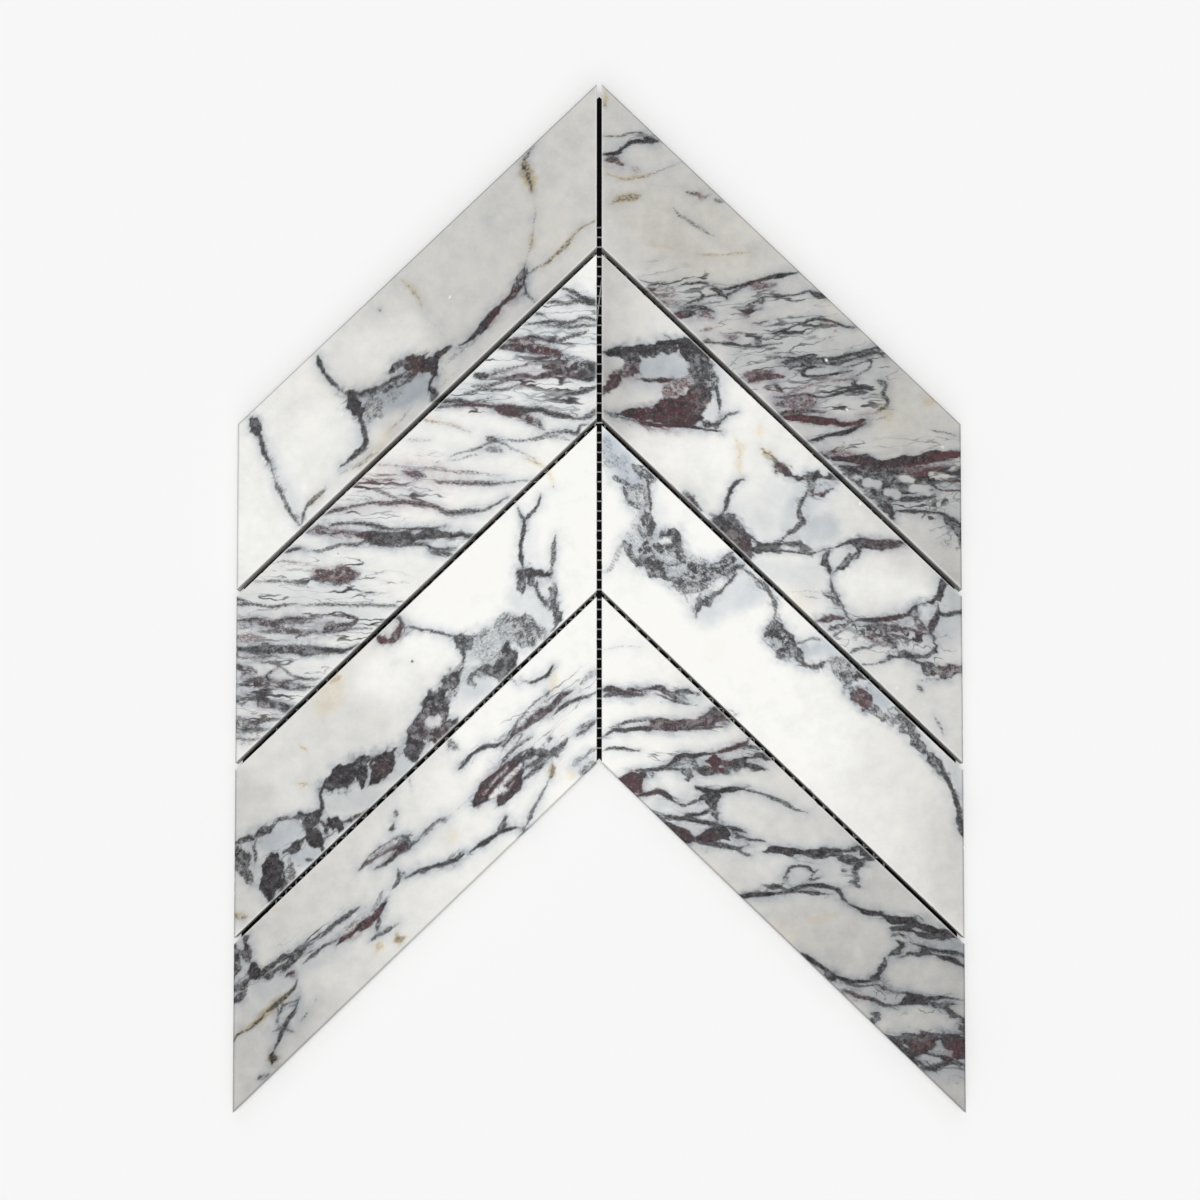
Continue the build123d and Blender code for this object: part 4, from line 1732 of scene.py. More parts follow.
RIGHT_2 = """
white crown: LIGHT 22 .1 4,120 22,106
white shoulder: LIGHT 16 .6 20,58 46,52
white belly: LIGHT 14 .5 104,4 128,-2
blue veil: VEIL 9 .5 30,92 46,92 45,74
 VEIL 9 .3 2,92 14,84
 VEIL 15 .3 58,30 70,26 74,38
 VEIL 11 .65 90,44 81,36 79,24 90,26
 VEIL 9 .35 66,10 86,8 96,14
 VEIL 14 .55 118,-14 138,-12 142,2
 VEIL 8 .5 104,-14 98,-8
cream foot: STAIN 9 .25 72,0 84,-6
cells: CELLS 12 .5 100,-18 122,-16 134,-20
mass: PATCH 3.4 1 0,97 8,97 14,98.3 20,99 28,100.5 37,102
 PATCH 7.5 1 33,99 38,97 43,94
 PATCH 3 .9 10,97 13,94
spine cluster: PATCH 3.4 .95 0,80 5,84.5 9,88.5
 PATCH 7 .85 8,89 13,91.5 17,90
 WINE 9 .6 2,82 9,88 16,90
cluster foot: VEIN 1.7 .9 15,86.5 22,85.5 27,85.7 32,86.3
blade: PATCH 2.8 1 7,71.5 13,72.5 20,74
 PATCH 9 1 21,72 29,73.5 36,77 38,82
 PATCH 6 1 24,70.5 32,70 40,70.5
 PATCH 7 .95 38,72 41,78 40,86
 PATCH 6 .9 33,84 38,88 42,90
 WINE 16 .75 14,72 27,73 38,78
rose patch: PEBBLE 4.5 .32 28,81 31,84 35,86.5
 WINE 8 1 27,80 31,84 35,87
blade: VEIN 1.6 1 11,69.7 20,68.2 28,67.3 36,66.7 44,66 49,65.5
fringe: PATCH 3.4 .75 44,91 45,86 44,82
 VEIN 1.5 .85 44,92 46,85 47.5,80 48.3,75 48,71
 PATCH 2.6 .9 41,68.5 46,68 50,70
 VEIN 1.5 .8 49,69.5 52,71.5 56,73
sky pebble: PEBBLE 7.4 .95 21,91 26,92.3 31,91
 VEIL 15 .8 20,91.5 31,91.5
pale lens: PEBBLE 4.5 .9 4,92 7,93
 PEBBLE 5.6 .95 4,77.5 13,79.5 22,80.8
slit pebble: PEBBLE 3.4 .85 44.8,75 44,72
spine thread: HAIR 1.5 .65 0,74 5,72 9,70.3 13,69.3
honey threads: STAIN 3 .55 54,63 56,58 56,52 57,47
 HAIR .8 .3 54,62 56,57 56,51 57,47
honey spot: STAIN 4.5 .5 64,67 65,63
brown root: VEIN 1.2 .7 65,57.5 69,55.5 72,52.5
 STAIN 3 .8 65,57.5 71,54
brown knot: PATCH 3.4 .9 71,52.5 74,50 77,46.5
 WINE 4.5 .6 71,52 77,47
shelf: PATCH 2.9 .9 77,46.5 84,47 90,47 98,46
 PATCH 2.4 .8 84,46 85,43 86,40
 PATCH 2.6 .85 85,40 89,40 93,42
 WINE 3.6 .8 85,40 90,40.5
 PATCH 2.4 .4 86,44 91,43.5 96,43.7
falling vein: VEIN 2.1 .8 84,42 82,38 80,34 80,31 82,29 80,27 77,25 74,22 72,19.5
 PATCH 2.8 .85 81,31 82,29
arc: VEIN 2 .9 58,46 54,43.5 51.5,38 50,34 48,31
 PATCH 4 .9 47,30 51,30 54,28
edge tooth: PATCH 2.8 .85 33,40 36,38.5 38,36 41,33
brown mass: PATCH 8.5 .95 45,28 51,25 56,20 60,15
 WINE 6 .45 52,24 60,16
shore: PATCH 2.8 .95 58,17 63,17.5 69,18 74,19.5
 VEIN 1.4 .85 57,27 59,23.5 63,20.5 67,19
 PATCH 2.8 .9 74,19.5 79,19.3 84,17.5
 VEIN 1.4 .85 66,17 72,16.8 78,16.3 84,15.8 90,17.3
crest: VEIN 1.5 .9 89,17 92,17.7 96,18.8 100,20.3 105,21 112,21 121,20.5
 PATCH 3 .95 102,19 108,19.3 114,19.3 122,19.3
 PATCH 2.2 .85 103.5,19 103,16 101,14 99,12 96,10 93.5,7.5
small pebble side: PATCH 2.4 .9 91.5,17 90,14 91,11 92.5,7.5
chain: VEIN 1.5 .75 92.5,7.5 93,3 94,0 96,-3 97.5,-6 99.5,-10 102,-12
 PATCH 2.6 .85 91,-1 94,-3 96.5,-5
cream dash: HAIR 1 .45 82,-1 88,-2.2
cream line: HAIR .8 .3 74,.5 82,1 90,0
foot wine: PATCH 2.3 .9 86,-12 92,-10.5 98,-9.8
 WINE 3 .7 86,-12 97,-10
foot: PATCH 2 .85 91,-15 96,-13.5 101,-11.5
 VEIN 1.3 .7 93,-17.5 99,-15
belly edge: VEIN 1.7 .95 101,-12 106,-11 112,-10.5 118,-10 123,-8.5 127,-5.5 131,-4
 PATCH 2.9 .95 129,-5 133,-4 136,-1 137.2,3 138.5,7
second edge: PATCH 1.9 .85 103,-13.7 110,-13 116,-14 121,-14.5 126,-15 132,-16.5
edge spots: PATCH 2.4 .8 121,-9.3 125,-8 127.5,-6.5
edge drop: PATCH 1.9 .8 126,-6 126.3,-10 128,-12.5 131,-14.5
outer line: VEIN 1.9 .85 135,-5 135,-9 133,-13 132,-17
outer shelf: VEIN 1.5 .85 134,-8.5 140,-8.5 147,-7
rose mass: PATCH 4.6 .8 104,-16.5 109,-16.5 114,-18 118,-21
 WINE 5 .5 105,-17 116,-19
 VEIN 1.4 .75 99,-24.5 105,-22.5 111,-21
 VEIN 1.5 .8 115,-16.5 121,-18 126,-19.8
bowl: PATCH 2.3 .9 133,-17 134.3,-21 132,-24 128,-25.3 121,-25 116,-26
foot band: PATCH 4 .85 126,-26.5 131,-29.5 136,-31.5 141,-31.5 147,-30
 HAIR 1.6 .4 128,-35 134,-34.5 140,-34
 WINE 4 .5 134,-31.5 147,-30.5
pod: VEIN 1.3 .7 104,-28.5 108,-28.7 113,-27.5 117,-26.5
crumb: VEIN 1.5 .7 127,-37.5 129,-39
foot hair: HAIR 1.7 .6 133.5,-49 136,-53 137,-56.5
glint: GLINT .9 1 104,36
 GLINT .8 1 118.5,-38
wine haze: WINE 8 .35 108,20 124,20
 WINE 10 .4 112,-12 132,-14
blade: PATCH 4 1 13,72 20,71.5 26,71
fringe: PATCH 6.5 .88 36,97 41,91 42,85
pebble rim: PATCH 3 .9 14,96 22,97.5 31,98
slit: PATCH 3.4 .85 44,87 45,82
rose bar: PATCH 5 .7 26,79.5 30,83 34,86.5
"""

LEFT_3 = """
white crown: LIGHT 34 1 -58,-4 -40,12 -16,44
white flank: LIGHT 12 .9 -8,28 -8,4
white shoulder: LIGHT 18 .7 -86,-34 -70,-24
grey outer end: SHADE 20 .3 -142,-84 -138,-118
blue veil: VEIL 5 .35 -29,28 -28,14
 VEIL 12 .5 -30,-2 -22,-8 -25,-13
 VEIL 7 .6 -52,-25 -46,-24 -40,-16
 VEIL 7 .6 -54,-40 -45,-38 -46,-33
 VEIL 8 .55 -81,-66 -80,-72 -68,-53
 VEIL 9 .4 -106,-84 -88,-82
 VEIL 9 .75 -131,-99 -120,-94
 VEIL 8 .8 -119,-105 -113,-104
cream belly: STAIN 9 .5 -112,-48 -104,-36
cream edge: STAIN 4 .75 -108,-36 -103,-33
apex stain: STAIN 2.6 .6 -21,50 -19,46 -18.5,44
apex fleck: HAIR .9 .8 -18.6,42.6 -18.1,42
fork: VEIN 1.3 .85 -33.3,34.5 -32,31.5 -30.5,28.5
 VEIN 1.5 .85 -23.2,39.5 -24.2,36 -26.5,33 -28.5,31 -30.2,28.5
 VEIN 1.8 .9 -30.3,30 -30.4,25 -30.9,20 -31.3,15 -30.6,8
shelf: PATCH 4.4 1 -32,8 -28,8 -24,7.6 -20,8
 PATCH 3.4 .85 -30.8,8 -31,4 -30.4,-.5
 PATCH 3.2 .85 -27,8 -27.5,4.5 -26,2
 VEIN 1.5 .85 -24.7,6 -24.9,2 -23.2,-2 -20.5,-4.6
needle: VEIN 1.7 .75 -17.7,23 -17.8,18 -18.2,13 -19.3,8 -20,5.5
tooth: PATCH 2.3 .85 -18.5,4 -18,0 -19,-3.5 -20,-5
bay edge: PATCH 2.6 .9 -21,-4.6 -18.6,-5.6 -17,-8.5 -16.6,-12 -18.5,-15
bay mass: PATCH 8.5 .75 -35,-12 -31,-13.5 -28.5,-17 -31,-20
 VEIN 1.6 .6 -42,-14 -40,-10.5 -38,-8.5 -35,-9.5 -31,-11.5
 PATCH 5 .6 -28,-19 -24,-17 -21,-17
heart: PATCH 8 .93 -37,-21 -36.5,-25 -38,-29 -42,-31
 PATCH 5 .9 -44,-29 -39,-32.5 -35,-33
breccia haze: PATCH 6.5 .45 -46,-15 -42,-17 -41,-22
breccia: PATCH 2.6 .7 -45,-14.5 -48,-17 -51,-19
tail line: VEIN 1.5 .9 -79,-14 -74,-13.8 -70,-14.8 -66,-15.6 -61,-17 -57,-18.4
tail knot: PATCH 5.5 .9 -57,-18.5 -53.5,-20 -51.5,-22.5
neck: VEIN 2 .85 -54,-21 -54.5,-26 -54.5,-30
beads: PATCH 4.2 .9 -54.5,-31 -58,-34 -60,-37 -62.5,-39.5
 PATCH 6.5 .95 -62.5,-39.5 -65,-43 -68,-47
 PATCH 2.4 .8 -49.5,-32 -51,-35 -49.5,-38.5
 PATCH 3.2 .85 -44,-29.5 -47,-32 -50,-33
 PATCH 3.6 .6 -57,-38 -59,-42
ledge mass: PATCH 8.5 .88 -70,-49 -65,-47.5 -61,-43.5
 PATCH 7 .9 -71,-62 -72,-55 -65,-57 -57,-52
 PATCH 5 .95 -73,-55 -74.5,-61 -73,-67
ledge pebble: PEBBLE 3.2 .8 -67,-51.5 -65,-50.5
ledge tint: WINE 12 .3 -72,-58 -62,-50
ring: PATCH 2.4 .9 -81,-9.5 -79.3,-12 -79.6,-16 -82,-19 -87,-19 -89,-16
 VEIN 1.3 .8 -88,-14 -85.5,-12.5 -82,-10
 WINE 4.5 .9 -80,-11 -81,-18 -88,-18
pit: PIT 1.1 1 -74.5,-27.3
smudge: HAIR 1.2 .25 -84,-29 -81,-28
 HAIR 1.2 .2 -97,-47 -94,-46
specks: STAIN 1.8 .9 -119.5,-61 -117,-63.5
 HAIR .9 .35 -119,-61.5 -117.5,-63
olive dashes: HAIR 1.2 .35 -120,-76 -116,-76.6 -113,-76.3
 STAIN 2.2 .6 -120,-76 -116,-76.6
block one: PATCH 7.5 1 -108,-75.5 -104,-74 -100.5,-72 -98.5,-69
 PATCH 2.6 .95 -111,-77.5 -107,-77.6 -101,-78
block two: PATCH 4.6 1 -97,-68 -95,-71.5 -94,-77
 PATCH 4 .9 -98,-68.5 -94,-67.3 -91,-67
block three: PATCH 7 1 -89.5,-75.5 -87,-71.5 -85,-67 -83,-64
 PATCH 3 1 -89,-66.5 -85,-64.3 -80.5,-62.3
 WINE 6 .35 -88,-74 -85,-68
tie: VEIN 1.8 .9 -110.5,-78 -111,-82 -110.3,-85 -111.5,-88
cross: PATCH 5 .95 -112,-88 -115,-91.5 -116,-95
 PATCH 6 1 -115.5,-95 -112.5,-98.5 -110,-102.5
 VEIN 1.6 .9 -112,-90 -109.5,-93 -108,-96.5
 PATCH 5.4 1 -108.5,-92.5 -105,-92 -103.3,-94.5
 VEIN 2 .85 -103,-92.6 -99,-90.8 -95,-89 -90.5,-86
arc: PATCH 2.6 .9 -115,-92 -119,-89.5 -122.5,-91
 VEIN 1.5 .75 -121,-90.5 -126,-90 -130,-92
 PATCH 2.8 .9 -130,-93 -133,-95 -136,-97
 PATCH 2.8 .85 -136,-98 -141,-98.8 -145.5,-102
loop: HAIR 1.3 .75 -135.5,-97 -137.5,-101 -136.5,-105 -137.3,-109
end mass: PATCH 5 .9 -145.5,-104 -142,-106 -139.5,-109
 PATCH 3.6 .8 -145.5,-109.5 -141,-112 -138,-116
column: PATCH 7.6 1 -129.7,-105 -129.3,-111 -130.2,-116 -131,-121.5
 PATCH 4.5 .75 -123.5,-106.5 -122.5,-111 -124.5,-116 -126,-119
 PATCH 2.6 .95 -126,-104 -121.5,-102 -118,-99.5 -115,-97
joint scratch: VEIN 1.2 .8 -117,-106.5 -113,-107
foot curl: HAIR 1.5 .55 -146,-128 -143,-130 -139.5,-129
 STAIN 3 .8 -146,-128 -140,-129.5
bay: PATCH 9 .55 -40,-14 -33,-15 -27,-15
breccia: PATCH 8 .5 -50,-21 -44,-23 -38,-24
beads: PATCH 5 .4 -50,-31 -46,-34
"""

RIGHT_3 = """
white crown: LIGHT 30 1 6,26 24,-6 48,-28
white pebble: LIGHT 14 .8 38,24 26,36
white belly: LIGHT 24 .7 66,-40 88,-58
grey outer end: SHADE 16 .2 138,-96 142,-122
cream: STAIN 8 .15 44,-20 48,-26
blue veil: VEIL 9 1 3,60 8,53 13,46
 VEIL 6 .6 12,22 16,18
 VEIL 4 .35 23,36 24,28
 VEIL 11 .6 42,-7 52,-2 62,2
 VEIL 7 .8 83,-24 90,-22 96,-26
 VEIL 8 .9 109,-40 114,-44
 VEIL 6 .6 140,-68 144,-80
apex mottle: PATCH 4.5 .4 1,64 3,59 2,53
 PATCH 4 .45 1,51 6,53 11,50
joint mottle: PATCH 4.4 .8 14,51 18,48.5 22,46
upper tongue: PATCH 2.6 .8 6,45.6 9,45 12,44
 PATCH 8.5 .62 12,43 15,39.5 18,35
 VEIN 2 .8 9.5,43 10.5,39 13,36 16,33.5
 VEIN 1.6 .85 15,48 18.7,45.5 20,41 20.5,36 20.5,31
neck: PATCH 4.2 .85 18,32 19.5,28 20.5,24
pebble edge: PATCH 2.4 .85 9.5,21.5 11.5,17.5 14,13 18,11.5
throat: PATCH 5.6 .88 19.5,22 18.5,17 20.5,13 24,9 27,6
 PATCH 3 .7 14.5,27 17,24.5 20,23
crest: PATCH 5 .9 24.5,20.5 27,23 30,22.5 30.5,18.5
 VEIN 1.2 .8 26,25.8 26.6,23.5
 PATCH 3.6 .85 20,19 25,18 30,18.5 33,16.5
 PEBBLE 2.2 .7 25,20.6 27,21
link: PATCH 3 .85 30,17 33,15 35,12
middle bar: VEIN 1.8 .85 23,10.3 28,10.6 33,12
lower bar: PATCH 2.8 .85 26,5.5 31,4.5 35,8
 PATCH 4.4 .75 30,2.5 34,1.5 38,3 43,2.5
long bar: PATCH 4.4 .9 35,12.5 39,9.5 44,8.5 49,10.5 54,13
 PATCH 3.6 .85 36,7 42,6.5 48,7.5 54,9.5 58,11.5
 VEIN 1.6 .75 41,12.5 46,11.8 51,14.5 54,16
claw: PATCH 3 .85 38.5,-9 39.5,-5.5 43,-3 48,.5
 VEIN 1.6 .85 44,-3 49,1 53,5 55.5,8
 HAIR 1.6 .7 40,0 39,-4 37.5,-8
 HAIR 1.4 .55 33,3 34.5,-1 35.5,-4
inner seep: HAIR 1.8 .45 0,8 3.5,9 6,12.5 8,17.5 10,21
right rim: VEIN 2 .75 58,10 62,6.5 66,3 69,-1 70,-5 70,-11
 HAIR 1.6 .6 62,5 64,2.5 68,1 71,-2
island: PATCH 7.5 .9 68,-16.5 71.5,-17 75,-20 78,-21.5
 PATCH 5 .8 70,-22 74,-24 78,-24
 HAIR 2.2 .7 67,-14.5 70,-12.5 73,-13.5
pod: PATCH 3 .85 78,-21 80,-25 81.5,-29
 VEIN 1.9 .8 79,-29.5 83,-29.3 87,-30 89.5,-28 91,-27
 HAIR 1.8 .65 79,-20.5 82,-19.5 85,-18.5 89,-18.5
band haze: PATCH 8 .6 93,-27 97,-30 100,-34 104,-41
band: PATCH 3.4 .85 96,-31 99,-35 102,-41 106,-46
 PATCH 3.8 .9 100,-30 103,-33.5 107,-37.5
 PEBBLE 2.2 .8 102.5,-37 106,-36.6
 PATCH 4.4 .9 103.5,-39.5 106,-42 107,-45.5
 WINE 5.5 1 103.5,-39.5 107,-45
 PATCH 3.4 .7 107,-46.5 111,-48.5 115,-51
chain: PATCH 5 .75 117,-51 120,-50.5 123,-53 125,-56.5
 HAIR 1.6 .7 115,-47 118,-46 122,-49 124,-52
 PATCH 4.6 .85 124,-57.5 127,-59.5 130,-63.5
 HAIR 1.6 .7 130,-62 132,-65.5 135,-66.5
 PATCH 3.6 .85 131,-64.5 134.5,-68 137,-72.5
 VEIN 2.6 .85 137,-72 140,-77 142,-83 143.5,-89 145,-97
joint hairs: HAIR 1.5 .4 51,-46.5 54,-48.5 56,-48
blue veil: VEIL 9 .5 26,12 38,8 52,11
bars: PATCH 10 .5 22,16 30,11 42,8 52,11
throat: PATCH 9 .4 15,30 18,22 22,14
island: PATCH 8 .5 68,-18 76,-21
"""

LEFT_4 = """
white crown: LIGHT 22 .8 -50,-52 -30,-32 -10,-14
white middle: LIGHT 12 .3 -64,-78 -30,-58
grey tip: SHADE 26 .3 -140,-190 -120,-172
streaks: STREAKS 12 .35 -36,-58 -18,-44 -2,-36
 STREAKS 12 .4 -40,-72 -20,-62
 STREAKS 10 .45 -132,-150 -96,-130
blue veil: VEIL 7 .5 -40,-68 -28,-60
 VEIL 8 .5 -134,-158 -118,-148 -104,-140
 VEIL 8 .35 -124,-168 -128,-176
 VEIL 5 .6 -143,-143 -142,-150
ochre: STAIN 3.4 .5 -18,-33 -19,-39
 STAIN 3.4 .5 -13,-74 -10,-72
 STAIN 2.4 .8 -18.3,-69 -19,-74.5
 STAIN 4.5 .35 -60,-99 -56,-96
rust spot: STAIN 5 1 -80,-137 -79,-139.5
 HAIR 2.6 .5 -79.6,-137.5 -79,-139
 STAIN 5 .75 -89,-141 -86.5,-142
ochre dots: STAIN 2 .5 -130,-127 -127,-126
hook: VEIN 1.7 .95 -30.5,-35.6 -27.5,-36.2 -24.4,-34.6 -21.3,-32.8 -18.3,-29.4
 VEIN 1.4 .7 -38,-33.5 -34.5,-35.4 -32,-37.6
fleck: PATCH 1.9 .75 -21.8,-41.5 -21,-39.2
first slash: PATCH 2.4 .9 -39,-61 -34,-56 -30,-51.3 -25,-48.6 -20,-44.5 -15,-41 -10.3,-38.8
 VEIN 1.8 .8 -34,-57 -29,-53 -24,-49.5 -19,-45.2 -14,-41.5
second slash: VEIN 1.5 .85 -19,-49 -15,-45.6 -10,-42.8 -5,-41.3 0,-39.8
third slash: VEIN 1.6 .75 -40,-70 -37,-65.5 -33,-61.5 -27,-57.3
spine slash: PATCH 1.9 .6 -7,-36.6 -3.5,-33.8 0,-31
spine dash: PATCH 2.5 .7 -8.6,-54.6 -5.6,-52.8 -1,-50
long lead: VEIN 1.6 .9 -56.5,-70.5 -53,-67.4 -50,-64 -46.3,-62 -41.3,-61 -37,-58.4
joint knot: PATCH 2.6 .7 -59.6,-58.6 -59,-60.8 -55.6,-62
spark: PATCH 1.5 .7 -20.2,-57.6 -19.8,-59.8
 VEIN 2 .75 -13,-58 -14.5,-60.4 -18,-63.8 -22.5,-68
great slash: PATCH 7.4 1 -49.5,-84 -46,-80.5 -42,-77.5 -37,-73.6 -33.5,-70 -31.5,-66
 PATCH 4.8 1 -40,-83.6 -36.5,-79.5 -33,-75 -31,-72
 PATCH 2.8 .9 -32,-68 -28,-64.4 -25,-63 -21,-64.8 -17,-65.2
 VEIN 1.8 .8 -41.5,-73 -37.5,-69.6 -33,-65.6 -29,-62.2
 VEIN 1.7 .8 -30,-70.3 -25,-67.8 -20,-65.6
 VEIN 1.5 .8 -32,-75.5 -26,-71.6 -20.5,-68
 WINE 10 .85 -46,-81 -34,-71
 PEBBLE 1.5 .8 -43,-82 -38.5,-78.5
rust hair: HAIR 1.3 .6 -18.6,-67.5 -18.2,-71 -19.4,-75
 HAIR 1.2 .55 -25,-83.5 -27,-87.4 -29,-91.2
spine cluster: PATCH 2 .6 -11,-69.4 -8,-67 -5,-64.6 0,-61.6
 PATCH 2.2 .65 -8,-72.8 -4.8,-70 0,-66.4
lower line: VEIN 1.8 .95 -76.5,-114 -73,-112 -70.6,-110.4 -67.5,-109.6 -63,-108.4 -58,-107.2 -54.5,-104.6
 PATCH 3 .9 -72,-111.2 -69.5,-110.2
 PATCH 3 .9 -60,-108 -58,-106.6 -56,-104.8
 VEIN 1.7 .95 -52,-104 -47.5,-100.6 -42.5,-97.6 -39.4,-95.4 -35,-94.2 -29.5,-93.8
 PATCH 2.5 .9 -40,-95 -39,-92.4 -37.4,-89.4
 PATCH 1.9 .85 -30.8,-93 -29.8,-96.2
faint line: VEIN 1.4 .7 -72,-98 -69,-95 -65.6,-92.5 -62.5,-90.6 -59,-89
 PATCH 2.8 .6 -62.3,-91.4 -60.3,-90.2
 HAIR 1.1 .45 -57,-87 -52.5,-83 -49,-80
paired dots: PATCH 2.2 .75 -82.8,-92 -82.5,-94.6
 HAIR 1.5 .6 -81.2,-86.6 -80.8,-89.8
middle slash: PATCH 2.2 .9 -95.6,-110.6 -92.6,-108.2 -88.2,-104.4 -83.8,-101.6 -80,-99.4 -76,-97
 VEIN 1.8 .85 -89,-110.4 -83.8,-107 -79.3,-103.2 -76,-101.3 -71.5,-98.6
 PATCH 3.4 .9 -80,-102.4 -77,-100 -76,-98.4
 HAIR 1.5 .6 -69.6,-97 -66,-93.2
stitch: HAIR 1.7 .75 -82,-118 -79.4,-114.4 -79.6,-110
 HAIR 1.4 .5 -78,-112.5 -76.5,-110.8
long slash: PATCH 2.5 .9 -139,-153.6 -134,-151.7 -128,-147.8 -124,-145 -119,-142.6 -114,-139.4
 VEIN 1.6 .8 -114,-139.4 -109,-136 -104,-131.8 -99.5,-128.8 -95.5,-125.6
 PATCH 2.2 .9 -135,-154 -129.3,-151.7 -125,-149 -120.4,-145.4 -117,-140.8
wine slash: PATCH 3.2 1 -104,-140.4 -100.4,-136.7 -97,-133.5 -92.7,-130.7 -88.2,-127.7 -84.7,-124.4
 WINE 4.5 .8 -103,-139 -93,-131 -87,-127
 VEIN 1.7 .8 -118,-147.6 -112.7,-143.9 -108.2,-140.4 -102,-137
 PATCH 2.2 .85 -88.3,-134.6 -87.8,-131 -88.6,-128.4
 VEIN 1.4 .75 -91.8,-139.2 -88.2,-136.2 -83.8,-134.2 -80,-131.8
 HAIR 1.3 .5 -90.6,-127.4 -88,-123.6 -85.4,-118.4
edge stem: PATCH 2.6 .9 -141.4,-135.5 -140.3,-140.6 -140,-145.6 -137.6,-148
edge knot: PATCH 4.4 1 -137.6,-147.6 -137,-150.6 -138.6,-153.6
edge border: PATCH 2.8 .85 -145.4,-139.6 -144,-144 -143.3,-148 -145.4,-153.5
edge foot: PATCH 3.4 .9 -145.5,-156.4 -142.4,-157 -139,-154.4
 PATCH 3.4 .9 -145.5,-162.4 -142.6,-160.8 -140,-158.4
wine drop: PATCH 2.2 .9 -123.4,-152.8 -120.8,-151.2
 WINE 3.4 .9 -123.4,-152.8 -120.8,-151.2
rust line: HAIR 1.5 .75 -119.8,-154 -120.6,-157.2 -123.2,-160 -127.7,-163.9 -132.7,-167.6
 HAIR 1.4 .75 -132.7,-167.6 -135,-171 -138.2,-173.8 -142.7,-175.4 -145.5,-178.6
 STAIN 2.6 .85 -122,-159 -132,-167 -136,-172 -145,-177
tip net: VEIN 1.5 .75 -128,-164 -126.6,-167.4 -125,-164.4 -120,-162.6 -119.2,-161.2
 VEIN 1.6 .85 -119.4,-162 -121,-167 -123.2,-170.6 -125,-174 -127,-178.3 -129.2,-183
 VEIN 1.4 .75 -129,-174.2 -125,-173.2 -121,-175.2
 HAIR 1.4 .65 -126.6,-167.4 -127.4,-171 -125.6,-174
 HAIR 1.3 .6 -118.4,-170.4 -115.8,-166.6
tip blob: PATCH 3.2 .9 -129.2,-183.6 -129.6,-187
 STAIN 4.6 .9 -129.2,-183.6 -129.6,-187
tip dash: PATCH 2 .7 -134.4,-193.6 -130,-191.4
tip speck: HAIR 1 .5 -113,-162.6 -112.6,-161.4
great slash: PEBBLE 1.5 .6 -41,-79.5 -36,-74 -31.5,-69
middle slash wine: WINE 4 .5 -92,-108 -78,-100
first slash wine: WINE 3 .4 -34,-56 -24,-48 -14,-41
rose fleck: WINE 2.5 .5 -19,-36 -17.5,-39.5
thread to the notch: HAIR 1.3 .75 -20,-75.7 -24.3,-82.9 -28.6,-91.4 -30,-95.7
slit: PEBBLE 1.1 .42 -46,-80.5 -41,-74.5 -37,-70
 PEBBLE 1 .35 -38,-80.5 -34,-75.5
 PEBBLE 1 .5 -91,-106.5 -85,-102 -79,-98.5
 PEBBLE 1 .6 -33,-53 -27,-48 -20,-43.5
 PEBBLE 1 .7 -101,-136 -95,-131 -90,-127.5
string: HAIR 1.1 .7 -40,-65.7 -35.7,-55.7 -30,-48.6 -24.3,-42.9 -20.7,-39.3
spine spur: VEIN 1.5 .8 -9,-57 -5,-54 -.6,-50
 HAIR 1.2 .7 -11.4,-69.3 -7,-66.5 -4.3,-65
short dash: HAIR 1.2 .7 -55.8,-69.4 -53.6,-67
joint tick: HAIR 1 .5 -75.5,-74 -75,-80
 HAIR 1 .55 -87,-83 -81.4,-79.2
"""

